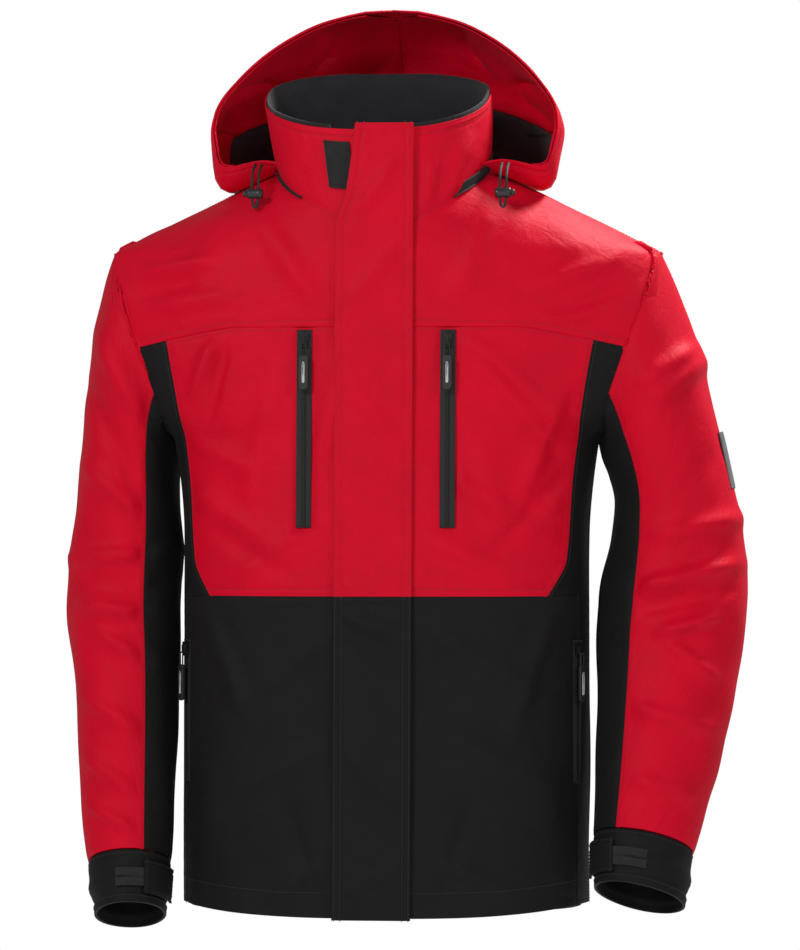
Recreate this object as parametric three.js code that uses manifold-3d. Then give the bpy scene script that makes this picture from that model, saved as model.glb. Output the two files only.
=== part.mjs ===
// A hooded foul weather jacket, standing open as if worn, built panel by panel.
// Millimetres. +Z up, the front faces -Y, the wearer's left is +X.
// Heights are worked out from the hem; the finished group is moved so that the
// hanger loop inside the back of the neck is the origin.
import * as THREE from "three";
import { mergeVertices } from "three/addons/utils/BufferGeometryUtils.js";
import Module from "manifold-3d";

const wasm = await Module();
wasm.setup();

// ---- Driving dimensions -------------------------------------------------
const BODY_HALF = 213; // half width of the body at hem and waist
const SHOULDER_Z = 697; // shoulder tip above the hem
const SHOULDER_OUT = 77; // shoulder tip outside the body's half width
const ARMHOLE_DROP = 197; // shoulder tip down to the underarm
const FRONT_AT_HEM = -148; // the centre front leans back in a straight line
const FRONT_LEAN = 0.0446;
const BACK_DEPTH = 122;
const SIDE_Y = -15; // depth at which the body is widest
const SHELL = 3; // outer fabric with its insulation
const LINING = 1.2;
const SEAM = 0.35; // gap between two sewn pieces
const YOKE_DROP = 79; // shoulder tip down to the yoke seam
const CHEST_DROP = 359; // shoulder tip down to the colour-block seam
const ZIP_EDGE = 6; // front edges either side of the main zip
const FLAP_SEWN_X = 39;
const FLAP_WIDTH = 82;
const FLAP_THICK = 2.4;
const CHEST_ZIP_X = 75;
const CHEST_ZIP_LENGTH = 206;
const HAND_ZIP_IN = 8; // hand zip inside the body's half width
const HAND_ZIP_LENGTH = 150;
const TAPE_WIDTH = 15.5;
const COLLAR_HALF = 108;
const COLLAR_RISE = 107; // height of the collar at the centre front
const COLLAR_BACK = 52;
const HOOD_HALF = 184;
const HOOD_RISE = 254; // shoulder tip up to the crown
const CUFF_LENGTH = 78;
const BADGE = { width: 40, height: 62, thick: 1.4 };
const CORD = 3; // hood cord diameter

// ---- Materials ----------------------------------------------------------
const material = (colour, roughness, metalness = 0) =>
  new THREE.MeshStandardMaterial({ color: colour, roughness, metalness });
const RED = material(0xcc0a28, 0.7);
const BLACK = material(0x1f1f1f, 0.8);
const FLEECE = material(0x22222a, 0.95);
const HOOK = material(0x0a0a0a, 0.95);
const TAPE = material(0x242424, 0.75);
const RUBBER = material(0x161616, 0.5);
const SLIDER = material(0x1a1a1a, 0.4, 0.6);
const PLASTIC = material(0x121212, 0.45);

// ---- Solids -------------------------------------------------------------
const point = (x, y, z) => new THREE.Vector3(x, y, z);

function solidOf(geometry) {
  const bare = new THREE.BufferGeometry();
  const source = geometry.index ? geometry.toNonIndexed() : geometry;
  bare.setAttribute("position", source.getAttribute("position"));
  const merged = mergeVertices(bare, 1e-4);
  const triVerts = new Uint32Array(merged.index.array);
  const vertProperties = merged.attributes.position.array;
  return new wasm.Manifold(new wasm.Mesh({ numProp: 3, vertProperties, triVerts }));
}

function geometryOf(solid) {
  const { vertProperties, triVerts } = solid.getMesh();
  const geometry = new THREE.BufferGeometry();
  geometry.setAttribute("position", new THREE.BufferAttribute(vertProperties, 3));
  geometry.setIndex(new THREE.BufferAttribute(triVerts, 1));
  return geometry;
}

function piece(name, solid, look) {
  const mesh = new THREE.Mesh(solid.isBufferGeometry ? solid : geometryOf(solid), look);
  mesh.name = name;
  return mesh;
}

// A solid from points and triangles, turned face out whichever way it was wound.
function woven(points, triangles) {
  const build = (order) => {
    const geometry = new THREE.BufferGeometry().setFromPoints(order.flat().map((i) => points[i]));
    return solidOf(geometry);
  };
  const solid = build(triangles);
  return solid.volume() > 0 ? solid : build(triangles.map(([a, b, c]) => [a, c, b]));
}

// A closed solid through rings of equally many points, capped at both ends.
function loft(rings) {
  const count = rings[0].length;
  const points = rings.flat();
  const triangles = [];
  for (let r = 0; r + 1 < rings.length; r++)
    for (let i = 0; i < count; i++) {
      const [a, b] = [r * count + i, r * count + ((i + 1) % count)];
      triangles.push([a, b, b + count], [a, b + count, a + count]);
    }
  for (const [ring, start, flip] of [[rings[0], 0, true], [rings.at(-1), points.length - count, false]]) {
    const middle = ring.reduce((sum, p) => sum.add(p), point(0, 0, 0)).divideScalar(count);
    points.push(middle);
    for (let i = 0; i < count; i++) {
      const [a, b] = [start + i, start + ((i + 1) % count)];
      triangles.push(flip ? [points.length - 1, b, a] : [points.length - 1, a, b]);
    }
  }
  return woven(points, triangles);
}

// A sheet with thickness: two grids of points, one over the other, closed at the edges.
function sheet(outer, inner) {
  const [rows, cols] = [outer.length, outer[0].length];
  const points = [...outer.flat(), ...inner.flat()];
  const at = (side, r, c) => side * rows * cols + r * cols + c;
  const triangles = [];
  const quad = (a, b, c, d) => triangles.push([a, b, c], [a, c, d]);
  for (let r = 0; r + 1 < rows; r++)
    for (let c = 0; c + 1 < cols; c++) {
      quad(at(0, r, c), at(0, r, c + 1), at(0, r + 1, c + 1), at(0, r + 1, c));
      quad(at(1, r, c), at(1, r + 1, c), at(1, r + 1, c + 1), at(1, r, c + 1));
    }
  for (let r = 0; r + 1 < rows; r++) {
    quad(at(0, r, 0), at(0, r + 1, 0), at(1, r + 1, 0), at(1, r, 0));
    const last = cols - 1;
    quad(at(0, r, last), at(1, r, last), at(1, r + 1, last), at(0, r + 1, last));
  }
  for (let c = 0; c + 1 < cols; c++) {
    quad(at(0, 0, c), at(1, 0, c), at(1, 0, c + 1), at(0, 0, c + 1));
    const last = rows - 1;
    quad(at(0, last, c), at(0, last, c + 1), at(1, last, c + 1), at(1, last, c));
  }
  return woven(points, triangles);
}

// A straight prism along Y over an outline of [x, z] points.
function prism(outline, yMin, yMax) {
  const shape = new THREE.Shape(outline.map(([x, z]) => new THREE.Vector2(x, z)));
  const geometry = new THREE.ExtrudeGeometry(shape, { depth: yMax - yMin, bevelEnabled: false });
  geometry.rotateX(Math.PI / 2).translate(0, yMax, 0);
  return solidOf(geometry);
}

function block(x0, x1, y0, y1, z0, z1) {
  const geometry = new THREE.BoxGeometry(x1 - x0, y1 - y0, z1 - z0);
  return solidOf(geometry.translate((x0 + x1) / 2, (y0 + y1) / 2, (z0 + z1) / 2));
}

const mirrored = (outline, side) => outline.map(([x, z]) => [x * side, z]);
const FAR = 900;
const SIDES = [["right", -1], ["left", 1]]; // the wearer's right is -X

// ---- The body's outer surface -------------------------------------------
const UNDERARM_Z = SHOULDER_Z - ARMHOLE_DROP;
const SHOULDER_HALF = BODY_HALF + SHOULDER_OUT;
const frontAt = (z) => FRONT_AT_HEM + FRONT_LEAN * z;

// [height, half width, depth of the back, squareness] from hem to neck
const STATIONS = [
  [0, BODY_HALF, BACK_DEPTH - 4, 2.6],
  [UNDERARM_Z * 0.4, BODY_HALF, BACK_DEPTH - 2, 2.6],
  [UNDERARM_Z * 0.8, BODY_HALF + 1, BACK_DEPTH + 2, 2.6],
  [UNDERARM_Z, BODY_HALF + 11, BACK_DEPTH + 6, 2.4],
  [SHOULDER_Z - 165, BODY_HALF + 52, BACK_DEPTH + 4, 2.3],
  [SHOULDER_Z - 110, BODY_HALF + 88, BACK_DEPTH, 2.2],
  [SHOULDER_Z - 60, SHOULDER_HALF + 20, BACK_DEPTH - 8, 2.1],
  [SHOULDER_Z - 22, SHOULDER_HALF + 10, BACK_DEPTH - 20, 2],
  [SHOULDER_Z, SHOULDER_HALF, BACK_DEPTH - 30, 1.9],
  [SHOULDER_Z + 15, SHOULDER_HALF - 28, BACK_DEPTH - 36, 1.8],
  [SHOULDER_Z + 33, SHOULDER_HALF - 64, BACK_DEPTH - 44, 1.7],
  [SHOULDER_Z + 51, SHOULDER_HALF - 102, BACK_DEPTH - 52, 1.55],
  [SHOULDER_Z + 69, SHOULDER_HALF - 138, BACK_DEPTH - 60, 1.45],
  [SHOULDER_Z + 88, COLLAR_HALF + 4, BACK_DEPTH - 69, 1.4],
  [SHOULDER_Z + 103, COLLAR_HALF - 23, BACK_DEPTH - 82, 1.4],
];

const signedPower = (value, power) => Math.sign(value) * Math.abs(value) ** power;

// One oval section; squareness 2 is an ellipse, more is boxier.
function oval({ half, front, back, squareness, z, points }, offset) {
  return Array.from({ length: points }, (_, i) => {
    const angle = (2 * Math.PI * i) / points;
    const across = signedPower(Math.cos(angle), 2 / squareness);
    const along = signedPower(Math.sin(angle), 2 / squareness);
    const depth = along < 0 ? SIDE_Y - front : back - SIDE_Y;
    const y = SIDE_Y + along * (depth + offset);
    return point(across * (half + offset), y, typeof z === "function" ? z(y) : z);
  });
}

function bodySolid(offset) {
  const rings = STATIONS.map(([z, half, back, squareness]) =>
    oval({ half, front: frontAt(z), back, squareness, z, points: 28 }, offset));
  if (offset < 0) rings.unshift(rings[0].map((p) => point(p.x, p.y, p.z - 20)));
  return loft(rings);
}

// Half width, back and squareness at any height between two stations.
function sectionAt(z) {
  const above = Math.max(1, STATIONS.findIndex((row) => row[0] >= z));
  const [low, high] = [STATIONS[above - 1], STATIONS[above]];
  const share = (z - low[0]) / (high[0] - low[0]);
  return low.map((value, i) => value + (high[i] - value) * share);
}

// Where the front surface lies at a given place across and up the body.
function frontSurface(x, z) {
  const [, half, , squareness] = sectionAt(z);
  const rest = Math.max(0, 1 - Math.abs(x / half) ** squareness);
  return SIDE_Y + (frontAt(z) - SIDE_Y) * rest ** (1 / squareness);
}

// ---- Collar shape -------------------------------------------------------
const COLLAR_FRONT_Z = SHOULDER_Z + 26;
const COLLAR_FRONT_Y = frontAt(COLLAR_FRONT_Z);
const NECK_DEPTH = COLLAR_BACK - COLLAR_FRONT_Y;
const NECK_BACK_RISE = 67; // neck seam, front up to back
const TOP_BACK_RISE = 58; // collar top, front up to back
const neckSeam = (y) => {
  const share = THREE.MathUtils.clamp((y - COLLAR_FRONT_Y) / NECK_DEPTH, 0, 1);
  return COLLAR_FRONT_Z + NECK_BACK_RISE * (1 - (1 - share) ** 2.2);
};
const collarTop = (y) => {
  const share = THREE.MathUtils.clamp((y - COLLAR_FRONT_Y) / NECK_DEPTH, 0, 1);
  return COLLAR_FRONT_Z + COLLAR_RISE + TOP_BACK_RISE * share;
};

// The collar between two levels: 0 is the neck seam, 1 the top edge.
function collarSolid(offset, low, high) {
  const levels = [low, ...[0, 0.35, 0.7, 1].filter((level) => level > low && level < high), high];
  return loft(levels.map((level) => oval({
    half: COLLAR_HALF + 12 * level + 10 * Math.max(0, level * (1 - level)),
    front: COLLAR_FRONT_Y + FRONT_LEAN * COLLAR_RISE * level,
    back: COLLAR_BACK + 3 * level,
    squareness: 2.4,
    points: 28,
    z: (y) => neckSeam(y) + (collarTop(y) - neckSeam(y)) * level,
  }, offset)));
}

// ---- Body panels --------------------------------------------------------
const YOKE_Z = SHOULDER_Z - YOKE_DROP;
const CHEST_Z = SHOULDER_Z - CHEST_DROP;
const SIDE_X = BODY_HALF - HAND_ZIP_IN;
const TOP = SHOULDER_Z + FAR;

// Regions seen from the front, [x, z], for the wearer's left; the right side mirrors them.
const yokeRegion = [[-1, YOKE_Z], [150, YOKE_Z], [FAR, YOKE_Z - (FAR - 150) * 0.19], [FAR, TOP], [-1, TOP]];
const lowerRegion = [[-1, -FAR], [FAR, -FAR], [FAR, CHEST_Z], [-1, CHEST_Z]];
const sideRegion = [
  [SIDE_X, -FAR], [SIDE_X, CHEST_Z], [BODY_HALF - 35, CHEST_Z], [BODY_HALF - 17, CHEST_Z + 38],
  [BODY_HALF - 11, CHEST_Z + 122], [BODY_HALF, CHEST_Z + 202], [BODY_HALF + 20, YOKE_Z + 30],
  [FAR, YOKE_Z + 30], [FAR, -FAR],
];
const shifted = (outline, dx, dz) => outline.map(([x, z]) => [x + dx, z + dz]);

// The plane of the armhole, from underarm to shoulder tip, as a half space outside it.
const armholeCut = (side) => prism(mirrored([
  [BODY_HALF + 9, UNDERARM_Z], [BODY_HALF + 9 + (FAR * (SHOULDER_OUT - 9)) / ARMHOLE_DROP, UNDERARM_Z + FAR],
  [2 * FAR, UNDERARM_Z + FAR], [2 * FAR, UNDERARM_Z - 200], [BODY_HALF + 40, UNDERARM_Z - 10],
], side), -FAR, FAR);

const bodyOuter = bodySolid(0);
const neckHole = collarSolid(SEAM, -0.03, 3);
const bodyShell = bodyOuter
  .subtract(bodySolid(-SHELL))
  .subtract(neckHole)
  .subtract(armholeCut(-1))
  .subtract(armholeCut(1));

const jacket = new THREE.Group();
const add = (name, solid, look, parent = jacket) => parent.add(piece(name, solid, look));

// ---- Zips ---------------------------------------------------------------
// A zip's own frame: local X across it, local -Y outward, local Z up along it, origin at its top end.
function zipFrame(name, top, bottom, outward) {
  const up = top.clone().sub(bottom).normalize();
  const across = up.clone().cross(outward).normalize();
  const inward = up.clone().cross(across);
  const frame = new THREE.Group();
  frame.name = name;
  frame.applyMatrix4(new THREE.Matrix4().makeBasis(across, inward, up).setPosition(top));
  frame.updateMatrixWorld(true);
  return frame;
}

const SLIDER_SIZE = { width: 9, length: 15, thick: 3.2 };
const BRIDGE = { width: 2.8, rise: 2.4 };
const PULL_CORD = 13; // slider's bridge down to the pull
const PULL_LEG = { out: 2.6, half: 0.8 }; // the cord's two legs, either side of the bridge

// Slider body with a bridge on its outer face, its top end at z = 0.
function sliderSolid() {
  const { width, length, thick } = SLIDER_SIZE;
  const outline = [[-width / 2, 0], [-width * 0.32, -length], [width * 0.32, -length], [width / 2, 0]];
  const body = prism(outline, -thick, 0);
  return body.add(block(-BRIDGE.width / 2, BRIDGE.width / 2, -thick - BRIDGE.rise, -thick + 0.2,
    -length * 0.8, -length * 0.2));
}

// A moulded pull on its cord loop, hanging from the origin down.
function pullSolid(width, length, thick) {
  const corner = width / 2 - 0.5;
  const shape = new THREE.Shape();
  shape.moveTo(-width / 2, corner - length);
  shape.absarc(-width / 2 + corner, corner - length, corner, Math.PI, 1.5 * Math.PI);
  shape.absarc(width / 2 - corner, corner - length, corner, 1.5 * Math.PI, 2 * Math.PI);
  shape.lineTo(width / 2, -3);
  shape.lineTo(width / 2 - 3, 0);
  shape.lineTo(3 - width / 2, 0);
  shape.lineTo(-width / 2, -3);
  const tab = new THREE.ExtrudeGeometry(shape, { depth: thick, bevelEnabled: false, curveSegments: 4 });
  tab.rotateX(Math.PI / 2).translate(0, thick / 2, -PULL_CORD);
  const { out, half } = PULL_LEG;
  let solid = solidOf(tab);
  for (const side of [-1, 1])
    solid = solid.add(block(side * out - half, side * out + half, -half, half, -PULL_CORD - 1, half));
  return solid.add(block(-out - half, out + half, -half, half, -half, half));
}

const TAPE_THICK = 1.2;
const RUN = 0.35; // running gap of a slider over its teeth

// A pocket zip with its slider closed at the top; returns the slot it needs in the panels.
function pocketZip(name, frame, length, pull) {
  const half = TAPE_WIDTH / 2;
  const teeth = block(-2.2, 2.2, -0.6, 0.1, -length + 2, -2);
  add(name + "_tape", block(-half, half, 0, TAPE_THICK, -length, 0).add(teeth), TAPE, frame);
  const slider = new THREE.Group();
  slider.position.set(0, -0.6 - RUN, -3);
  add(name + "_slider", sliderSolid(), SLIDER, slider);
  const hinge = new THREE.Group();
  hinge.name = name + "_pull_axis";
  hinge.position.set(0, -SLIDER_SIZE.thick - BRIDGE.rise - PULL_LEG.half * Math.SQRT2 - RUN / 4,
    -SLIDER_SIZE.length * 0.72);
  add(name + "_pull", pullSolid(pull.width, pull.length, pull.thick), RUBBER, hinge);
  slider.add(hinge);
  frame.add(slider);
  jacket.add(frame);
  const gap = SEAM;
  const slot = new THREE.BoxGeometry(TAPE_WIDTH + 2 * gap, 30, length + 2 * gap);
  slot.translate(0, 0, -length / 2).applyMatrix4(frame.matrix);
  return solidOf(slot);
}

const slots = {};
const CHEST_ZIP_TOP = YOKE_Z - 3;
const HAND_ZIP_TOP = CHEST_Z - 46;
for (const [hand, side] of SIDES) {
  const x = side * CHEST_ZIP_X;
  const chestEnd = (z) => point(x, frontSurface(x, z), z);
  const chest = zipFrame("chest_zip_" + hand, chestEnd(CHEST_ZIP_TOP),
    chestEnd(CHEST_ZIP_TOP - CHEST_ZIP_LENGTH), point(0, -1, 0));
  const handX = side * (BODY_HALF - HAND_ZIP_IN);
  const handEnd = (z) => point(handX, frontSurface(handX, z), z);
  const pocket = zipFrame("hand_zip_" + hand, handEnd(HAND_ZIP_TOP),
    handEnd(HAND_ZIP_TOP - HAND_ZIP_LENGTH), point(side * 0.8, -0.6, 0));
  slots[hand] = pocketZip("chest_zip_" + hand, chest, CHEST_ZIP_LENGTH, { width: 10, length: 36, thick: 4 })
    .add(pocketZip("hand_zip_" + hand, pocket, HAND_ZIP_LENGTH, { width: 9, length: 38, thick: 3.4 }));
}

// ---- Panels cut from the shell ------------------------------------------
const through = (outline, side) => prism(mirrored(outline, side), -FAR, FAR);

// Cuts one side's panels out of a half shell; each keeps a seam's gap to the next.
function panels(half, side) {
  const yoke = through(yokeRegion, side);
  const underYoke = half.subtract(through(shifted(yokeRegion, 0, -SEAM), side));
  const inside = underYoke.subtract(through(shifted(sideRegion, -SEAM, -SEAM), side));
  return {
    yoke: half.intersect(yoke),
    side: underYoke.intersect(through(sideRegion, side)),
    chest: inside.subtract(through(shifted(lowerRegion, 0, SEAM), side)),
    lower: inside.intersect(through(lowerRegion, side)),
  };
}

const backParts = [];
for (const [hand, side] of SIDES) {
  const from = (edge) => (side < 0 ? [-FAR, -edge] : [edge, FAR]);
  const shell = bodyShell.subtract(slots[hand]);
  const frontHalf = shell.intersect(block(...from(ZIP_EDGE), -FAR, SIDE_Y, -FAR, TOP));
  const backHalf = shell.intersect(block(...from(0), SIDE_Y, FAR, -FAR, TOP));
  const front = panels(frontHalf, side);
  const back = panels(backHalf, side);
  add("chest_" + hand, front.chest, RED);
  add("front_lower_" + hand, front.lower, BLACK);
  add("yoke_" + hand, front.yoke, RED);
  add("side_panel_" + hand, front.side.add(back.side), BLACK);
  backParts.push(back);
}
const shoulderSeam = block(-FAR, FAR, SIDE_Y - 1, SIDE_Y + SEAM, -FAR, TOP);
const BACK_PIECES = [["back_yoke", "yoke", RED], ["back_upper", "chest", RED], ["back_lower", "lower", BLACK]];
for (const [name, part, look] of BACK_PIECES)
  add(name, backParts[0][part].add(backParts[1][part]).subtract(shoulderSeam), look);

const liningGap = SHELL + 0.6;
const liningFront = block(-26, 26, -FAR, SIDE_Y, -FAR, FAR + SHOULDER_Z);
add("body_lining", bodySolid(-liningGap)
  .subtract(bodySolid(-liningGap - LINING))
  .subtract(collarSolid(8, -0.5, 3))
  .subtract(armholeCut(-1)).subtract(armholeCut(1))
  .subtract(block(-FAR, FAR, -FAR, FAR, -FAR, 12))
  .subtract(liningFront).subtract(slots.right).subtract(slots.left), FLEECE);

// ---- Collar -------------------------------------------------------------
const zipGap = (edge) => block(-edge, edge, -FAR, SIDE_Y, -FAR, FAR + SHOULDER_Z);
const ring = (outer, inner, low, high) => collarSolid(outer, low, high)
  .subtract(collarSolid(inner, low - 0.4, high + 0.4));
add("collar_outer", ring(0, -2.6, 0, 1).subtract(zipGap(ZIP_EDGE)), RED);
add("collar_lining", ring(-3, -5, 0.02, 0.99).subtract(zipGap(26)), FLEECE);

const PATCH = { inner: -26, outer: -47, low: COLLAR_FRONT_Z + 38, high: COLLAR_FRONT_Z + 92 };
const patchPrism = prism([[PATCH.outer, PATCH.low], [PATCH.inner, PATCH.low],
  [PATCH.inner, PATCH.high], [PATCH.outer, PATCH.high]], -FAR, SIDE_Y);
add("collar_loop_patch", ring(1.3, 0.3, 0, 1).intersect(patchPrism), HOOK);

// ---- Centre front: main zip and storm flap ------------------------------
const LEAN = Math.atan(FRONT_LEAN);
const FRONT_TOP = (COLLAR_FRONT_Z + COLLAR_RISE) / Math.cos(LEAN);
const centreFront = new THREE.Group();
centreFront.name = "centre_front";
centreFront.position.set(0, FRONT_AT_HEM, 0);
centreFront.rotation.x = -LEAN;
jacket.add(centreFront);

const ZIP_BEHIND = SHELL + 1.3; // clear of the front edges as they curve back
const MAIN_ZIP_TOP = FRONT_TOP - 14;
for (const [hand, side] of SIDES) {
  const [near, far] = [side * 0.4, side * 14];
  const tape = block(Math.min(near, far), Math.max(near, far), ZIP_BEHIND, ZIP_BEHIND + TAPE_THICK,
    6, MAIN_ZIP_TOP);
  const [inner, outer] = [side * 0.4, side * 3];
  const teeth = block(Math.min(inner, outer), Math.max(inner, outer), ZIP_BEHIND - 1.2, ZIP_BEHIND + 0.1,
    8, MAIN_ZIP_TOP - 4);
  add("main_zip_tape_" + hand, tape.add(teeth), TAPE, centreFront);
}
const mainSlider = new THREE.Group();
mainSlider.position.set(0, ZIP_BEHIND - 1.2 - RUN, MAIN_ZIP_TOP - 4);
add("main_zip_slider", block(-4.6, 4.6, -1.4, 0, -17, 0), SLIDER, mainSlider);
const MAIN_PULL = { width: 8, length: 30, thick: 1.2 };
const pullFace = -1.4 - RUN;
add("main_zip_pull", block(-MAIN_PULL.width / 2, MAIN_PULL.width / 2, pullFace - MAIN_PULL.thick, pullFace,
  -6 - MAIN_PULL.length, -6), RUBBER, mainSlider);
centreFront.add(mainSlider);

const FLAP_FREE_X = FLAP_SEWN_X - FLAP_WIDTH;
const FLAP_BACK = -2.2; // the flap's inner face, outside the front edges
const flapOutline = [
  [FLAP_FREE_X, -5], [FLAP_SEWN_X, -5], [FLAP_SEWN_X, FRONT_TOP], [FLAP_FREE_X + 21, FRONT_TOP],
  [FLAP_FREE_X + 12, COLLAR_FRONT_Z + 40], [FLAP_FREE_X, COLLAR_FRONT_Z - 3],
];
add("storm_flap", prism(flapOutline, FLAP_BACK - FLAP_THICK, FLAP_BACK), RED, centreFront);
const HOOK_STRIP = { width: 15, inset: 3, thick: 1.8 };
const hookFrom = FLAP_FREE_X + HOOK_STRIP.inset;
add("flap_hook_strip", block(hookFrom, hookFrom + HOOK_STRIP.width, FLAP_BACK + 0.3,
  FLAP_BACK + 0.3 + HOOK_STRIP.thick, 20, COLLAR_FRONT_Z - 40), HOOK, centreFront);

// ---- Hood ---------------------------------------------------------------
const HOOD_Z = SHOULDER_Z + 91;
// [rise above the neck seam, half width, back, front, squareness]
const HOOD_STATIONS = [
  [0, COLLAR_HALF + 22, COLLAR_BACK + 8.3, -92, 4],
  [7, COLLAR_HALF + 26, COLLAR_BACK + 8.6, -96, 4],
  [14, HOOD_HALF - 14, COLLAR_BACK + 62, -110, 3],
  [24, HOOD_HALF, COLLAR_BACK + 86, -115, 2.4],
  [HOOD_RISE - 202, HOOD_HALF - 3, COLLAR_BACK + 103, -110, 2.1],
  [HOOD_RISE - 172, HOOD_HALF - 21, COLLAR_BACK + 106, -100, 2],
  [HOOD_RISE - 142, HOOD_HALF - 53, COLLAR_BACK + 98, -85, 2],
  [HOOD_RISE - 117, HOOD_HALF - 81, COLLAR_BACK + 80, -60, 2],
  [HOOD_RISE - 100, HOOD_HALF - 104, COLLAR_BACK + 56, -35, 2],
  [HOOD_RISE - 91, HOOD_HALF - 150, COLLAR_BACK + 26, -20, 2],
];
const HOOD_TALL = HOOD_RISE - 91;

function hoodSolid(inset) {
  const rings = HOOD_STATIONS.map(([rise, half, back, front, squareness]) => {
    const z = HOOD_Z + rise - (inset * rise) / HOOD_TALL;
    return oval({ half, front, back, squareness, z, points: 28 }, -inset);
  });
  if (inset > 0) rings.unshift(rings[0].map((p) => point(p.x, p.y, p.z - 30)));
  return loft(rings);
}

// Everything behind a plane that is parallel to the hood's rim.
const RIM_LOW_Y = -62;
const RIM_HIGH_Y = 40;
function behindRim(distance) {
  const slope = (RIM_HIGH_Y - RIM_LOW_Y) / HOOD_TALL;
  const low = RIM_LOW_Y + distance;
  const corners = [[low - 200 * slope, HOOD_Z - 200], [FAR, HOOD_Z - 200], [FAR, HOOD_Z + 400],
    [low + 400 * slope, HOOD_Z + 400]];
  const shape = new THREE.Shape(corners.map(([y, z]) => new THREE.Vector2(y, z)));
  const geometry = new THREE.ExtrudeGeometry(shape, { depth: 2 * FAR, bevelEnabled: false });
  geometry.applyMatrix4(new THREE.Matrix4().makeBasis(point(0, 1, 0), point(0, 0, 1), point(1, 0, 0)));
  return solidOf(geometry.translate(-FAR, 0, 0));
}

const FACING = 66; // width of the red facing inside the rim
const hoodInner = hoodSolid(2.4 + SEAM).subtract(hoodSolid(2.4 + SEAM + 1.6))
  .subtract(block(-FAR, FAR, -FAR, FAR, -FAR, HOOD_Z));
add("hood_shell", hoodSolid(0).subtract(hoodSolid(2.4)).intersect(behindRim(0)), RED);
add("hood_facing", hoodInner.intersect(behindRim(1)).subtract(behindRim(FACING - SEAM)), RED);
add("hood_lining", hoodInner.intersect(behindRim(FACING)), FLEECE);

// The zip-on band that joins hood and collar stays with the collar.
const BAND = 3;
add("hood_neck_band", ring(SEAM + BAND, SEAM, 0.02, 0.26)
  .subtract(bodySolid(SEAM))
  .subtract(block(-88, 88, -FAR, SIDE_Y, -FAR, FAR + SHOULDER_Z)), TAPE);

// ---- Hood cords and their locks -----------------------------------------
const LOCK = { radius: 5.5, length: 17, drop: 28, socket: 3.4 };
const BUTTON = { radius: 3.6, length: 5.2, seated: 0.8 }; // seated is how far it sits in the lock at rest
const LEG = 3.4; // each cord leg from the lock's middle
const CORD_FORWARD = 30; // the locks lie on the front of the shoulders
function cordSolid(points) {
  const curve = new THREE.CatmullRomCurve3(points);
  const section = new THREE.Shape();
  section.absarc(0, 0, CORD / 2, 0, 2 * Math.PI);
  return solidOf(new THREE.ExtrudeGeometry(section, {
    steps: 14, curveSegments: 4, bevelEnabled: false, extrudePath: curve,
  }));
}

for (const [hand, side] of SIDES) {
  const cords = new THREE.Group();
  cords.name = "hood_cord_" + hand;
  cords.position.set(side * (COLLAR_HALF + 22), RIM_LOW_Y - CORD_FORWARD, HOOD_Z - 2);
  const route = [
    point(-LEG, CORD_FORWARD - 0.8, 4), point(-LEG, 10, -4), point(-LEG, 1, -14),
    point(-LEG, 0, -LOCK.drop), point(-2.4, 0, -LOCK.drop - 12),
    point(0, 0, -LOCK.drop - 15), point(2.4, 0, -LOCK.drop - 12), point(LEG, 0, -LOCK.drop),
    point(LEG, 1, -14), point(LEG, 10, -4), point(LEG, CORD_FORWARD - 0.8, 4),
  ];
  add("hood_cord_" + hand, cordSolid(route), HOOK, cords);
  const lock = new THREE.Group();
  lock.position.set(0, 0, -LOCK.drop);
  const barrel = new THREE.CylinderGeometry(LOCK.radius, LOCK.radius, LOCK.length, 14).rotateZ(Math.PI / 2);
  const bore = block(-LEG - CORD / 2 - 0.5, LEG + CORD / 2 + 0.5, -CORD / 2 - 0.5, CORD / 2 + 0.5, -20, 20);
  const plunger = new THREE.CylinderGeometry(BUTTON.radius, BUTTON.radius, BUTTON.length, 12)
    .rotateZ(Math.PI / 2).translate(side * (LOCK.length / 2 - BUTTON.seated + BUTTON.length / 2), 0, 0);
  const socket = new THREE.CylinderGeometry(BUTTON.radius + 0.4, BUTTON.radius + 0.4, LOCK.socket + 1, 12)
    .rotateZ(Math.PI / 2).translate(side * (LOCK.length / 2 + (1 - LOCK.socket) / 2), 0, 0);
  add("cord_lock_" + hand, solidOf(barrel).subtract(bore).subtract(solidOf(socket)), PLASTIC, lock);
  add("cord_lock_button_" + hand, plunger, PLASTIC, lock);
  cords.add(lock);
  jacket.add(cords);
}

// ---- Sleeves ------------------------------------------------------------
// Each ring: outer edge [x, z], inner edge [x, z], middle's depth, half depth.
// x counts outward from the body's half width, z down from the shoulder tip.
const SLEEVES = {
  left: [
    [[77, 0], [9, 197], 0, 84], [[97, 42], [12, 206], 0, 84], [[115, 93], [15, 217], 0, 83],
    [[129, 147], [22, 235], 0, 80], [[147, 222], [27, 262], 0, 77], [[159, 282], [23, 300], -2, 75],
    [[168, 362], [12, 362], -8, 76], [[164, 412], [9, 407], -14, 74], [[157, 462], [9, 457], -28, 71],
    [[137, 542], [10, 527], -46, 62], [[117, 609], [9, 592], -62, 54],
  ],
  right: [
    [[77, 5], [9, 197], 0, 84], [[86, 43], [11, 206], 0, 84], [[94, 89], [12, 217], 0, 82],
    [[100, 139], [12, 235], 0, 79], [[106, 197], [10, 262], 0, 76], [[112, 259], [8, 297], -2, 74],
    [[122, 364], [7, 364], -10, 72], [[113, 429], [7, 427], -18, 68], [[106, 506], [7, 502], -36, 62],
    [[102, 583], [8, 577], -54, 55], [[97, 625], [9, 620], -64, 51],
  ],
};
const CUFF_TIP = 0.36; // how far the cuff leans forward per unit of drop
const SLEEVE_POINTS = 18;

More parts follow.
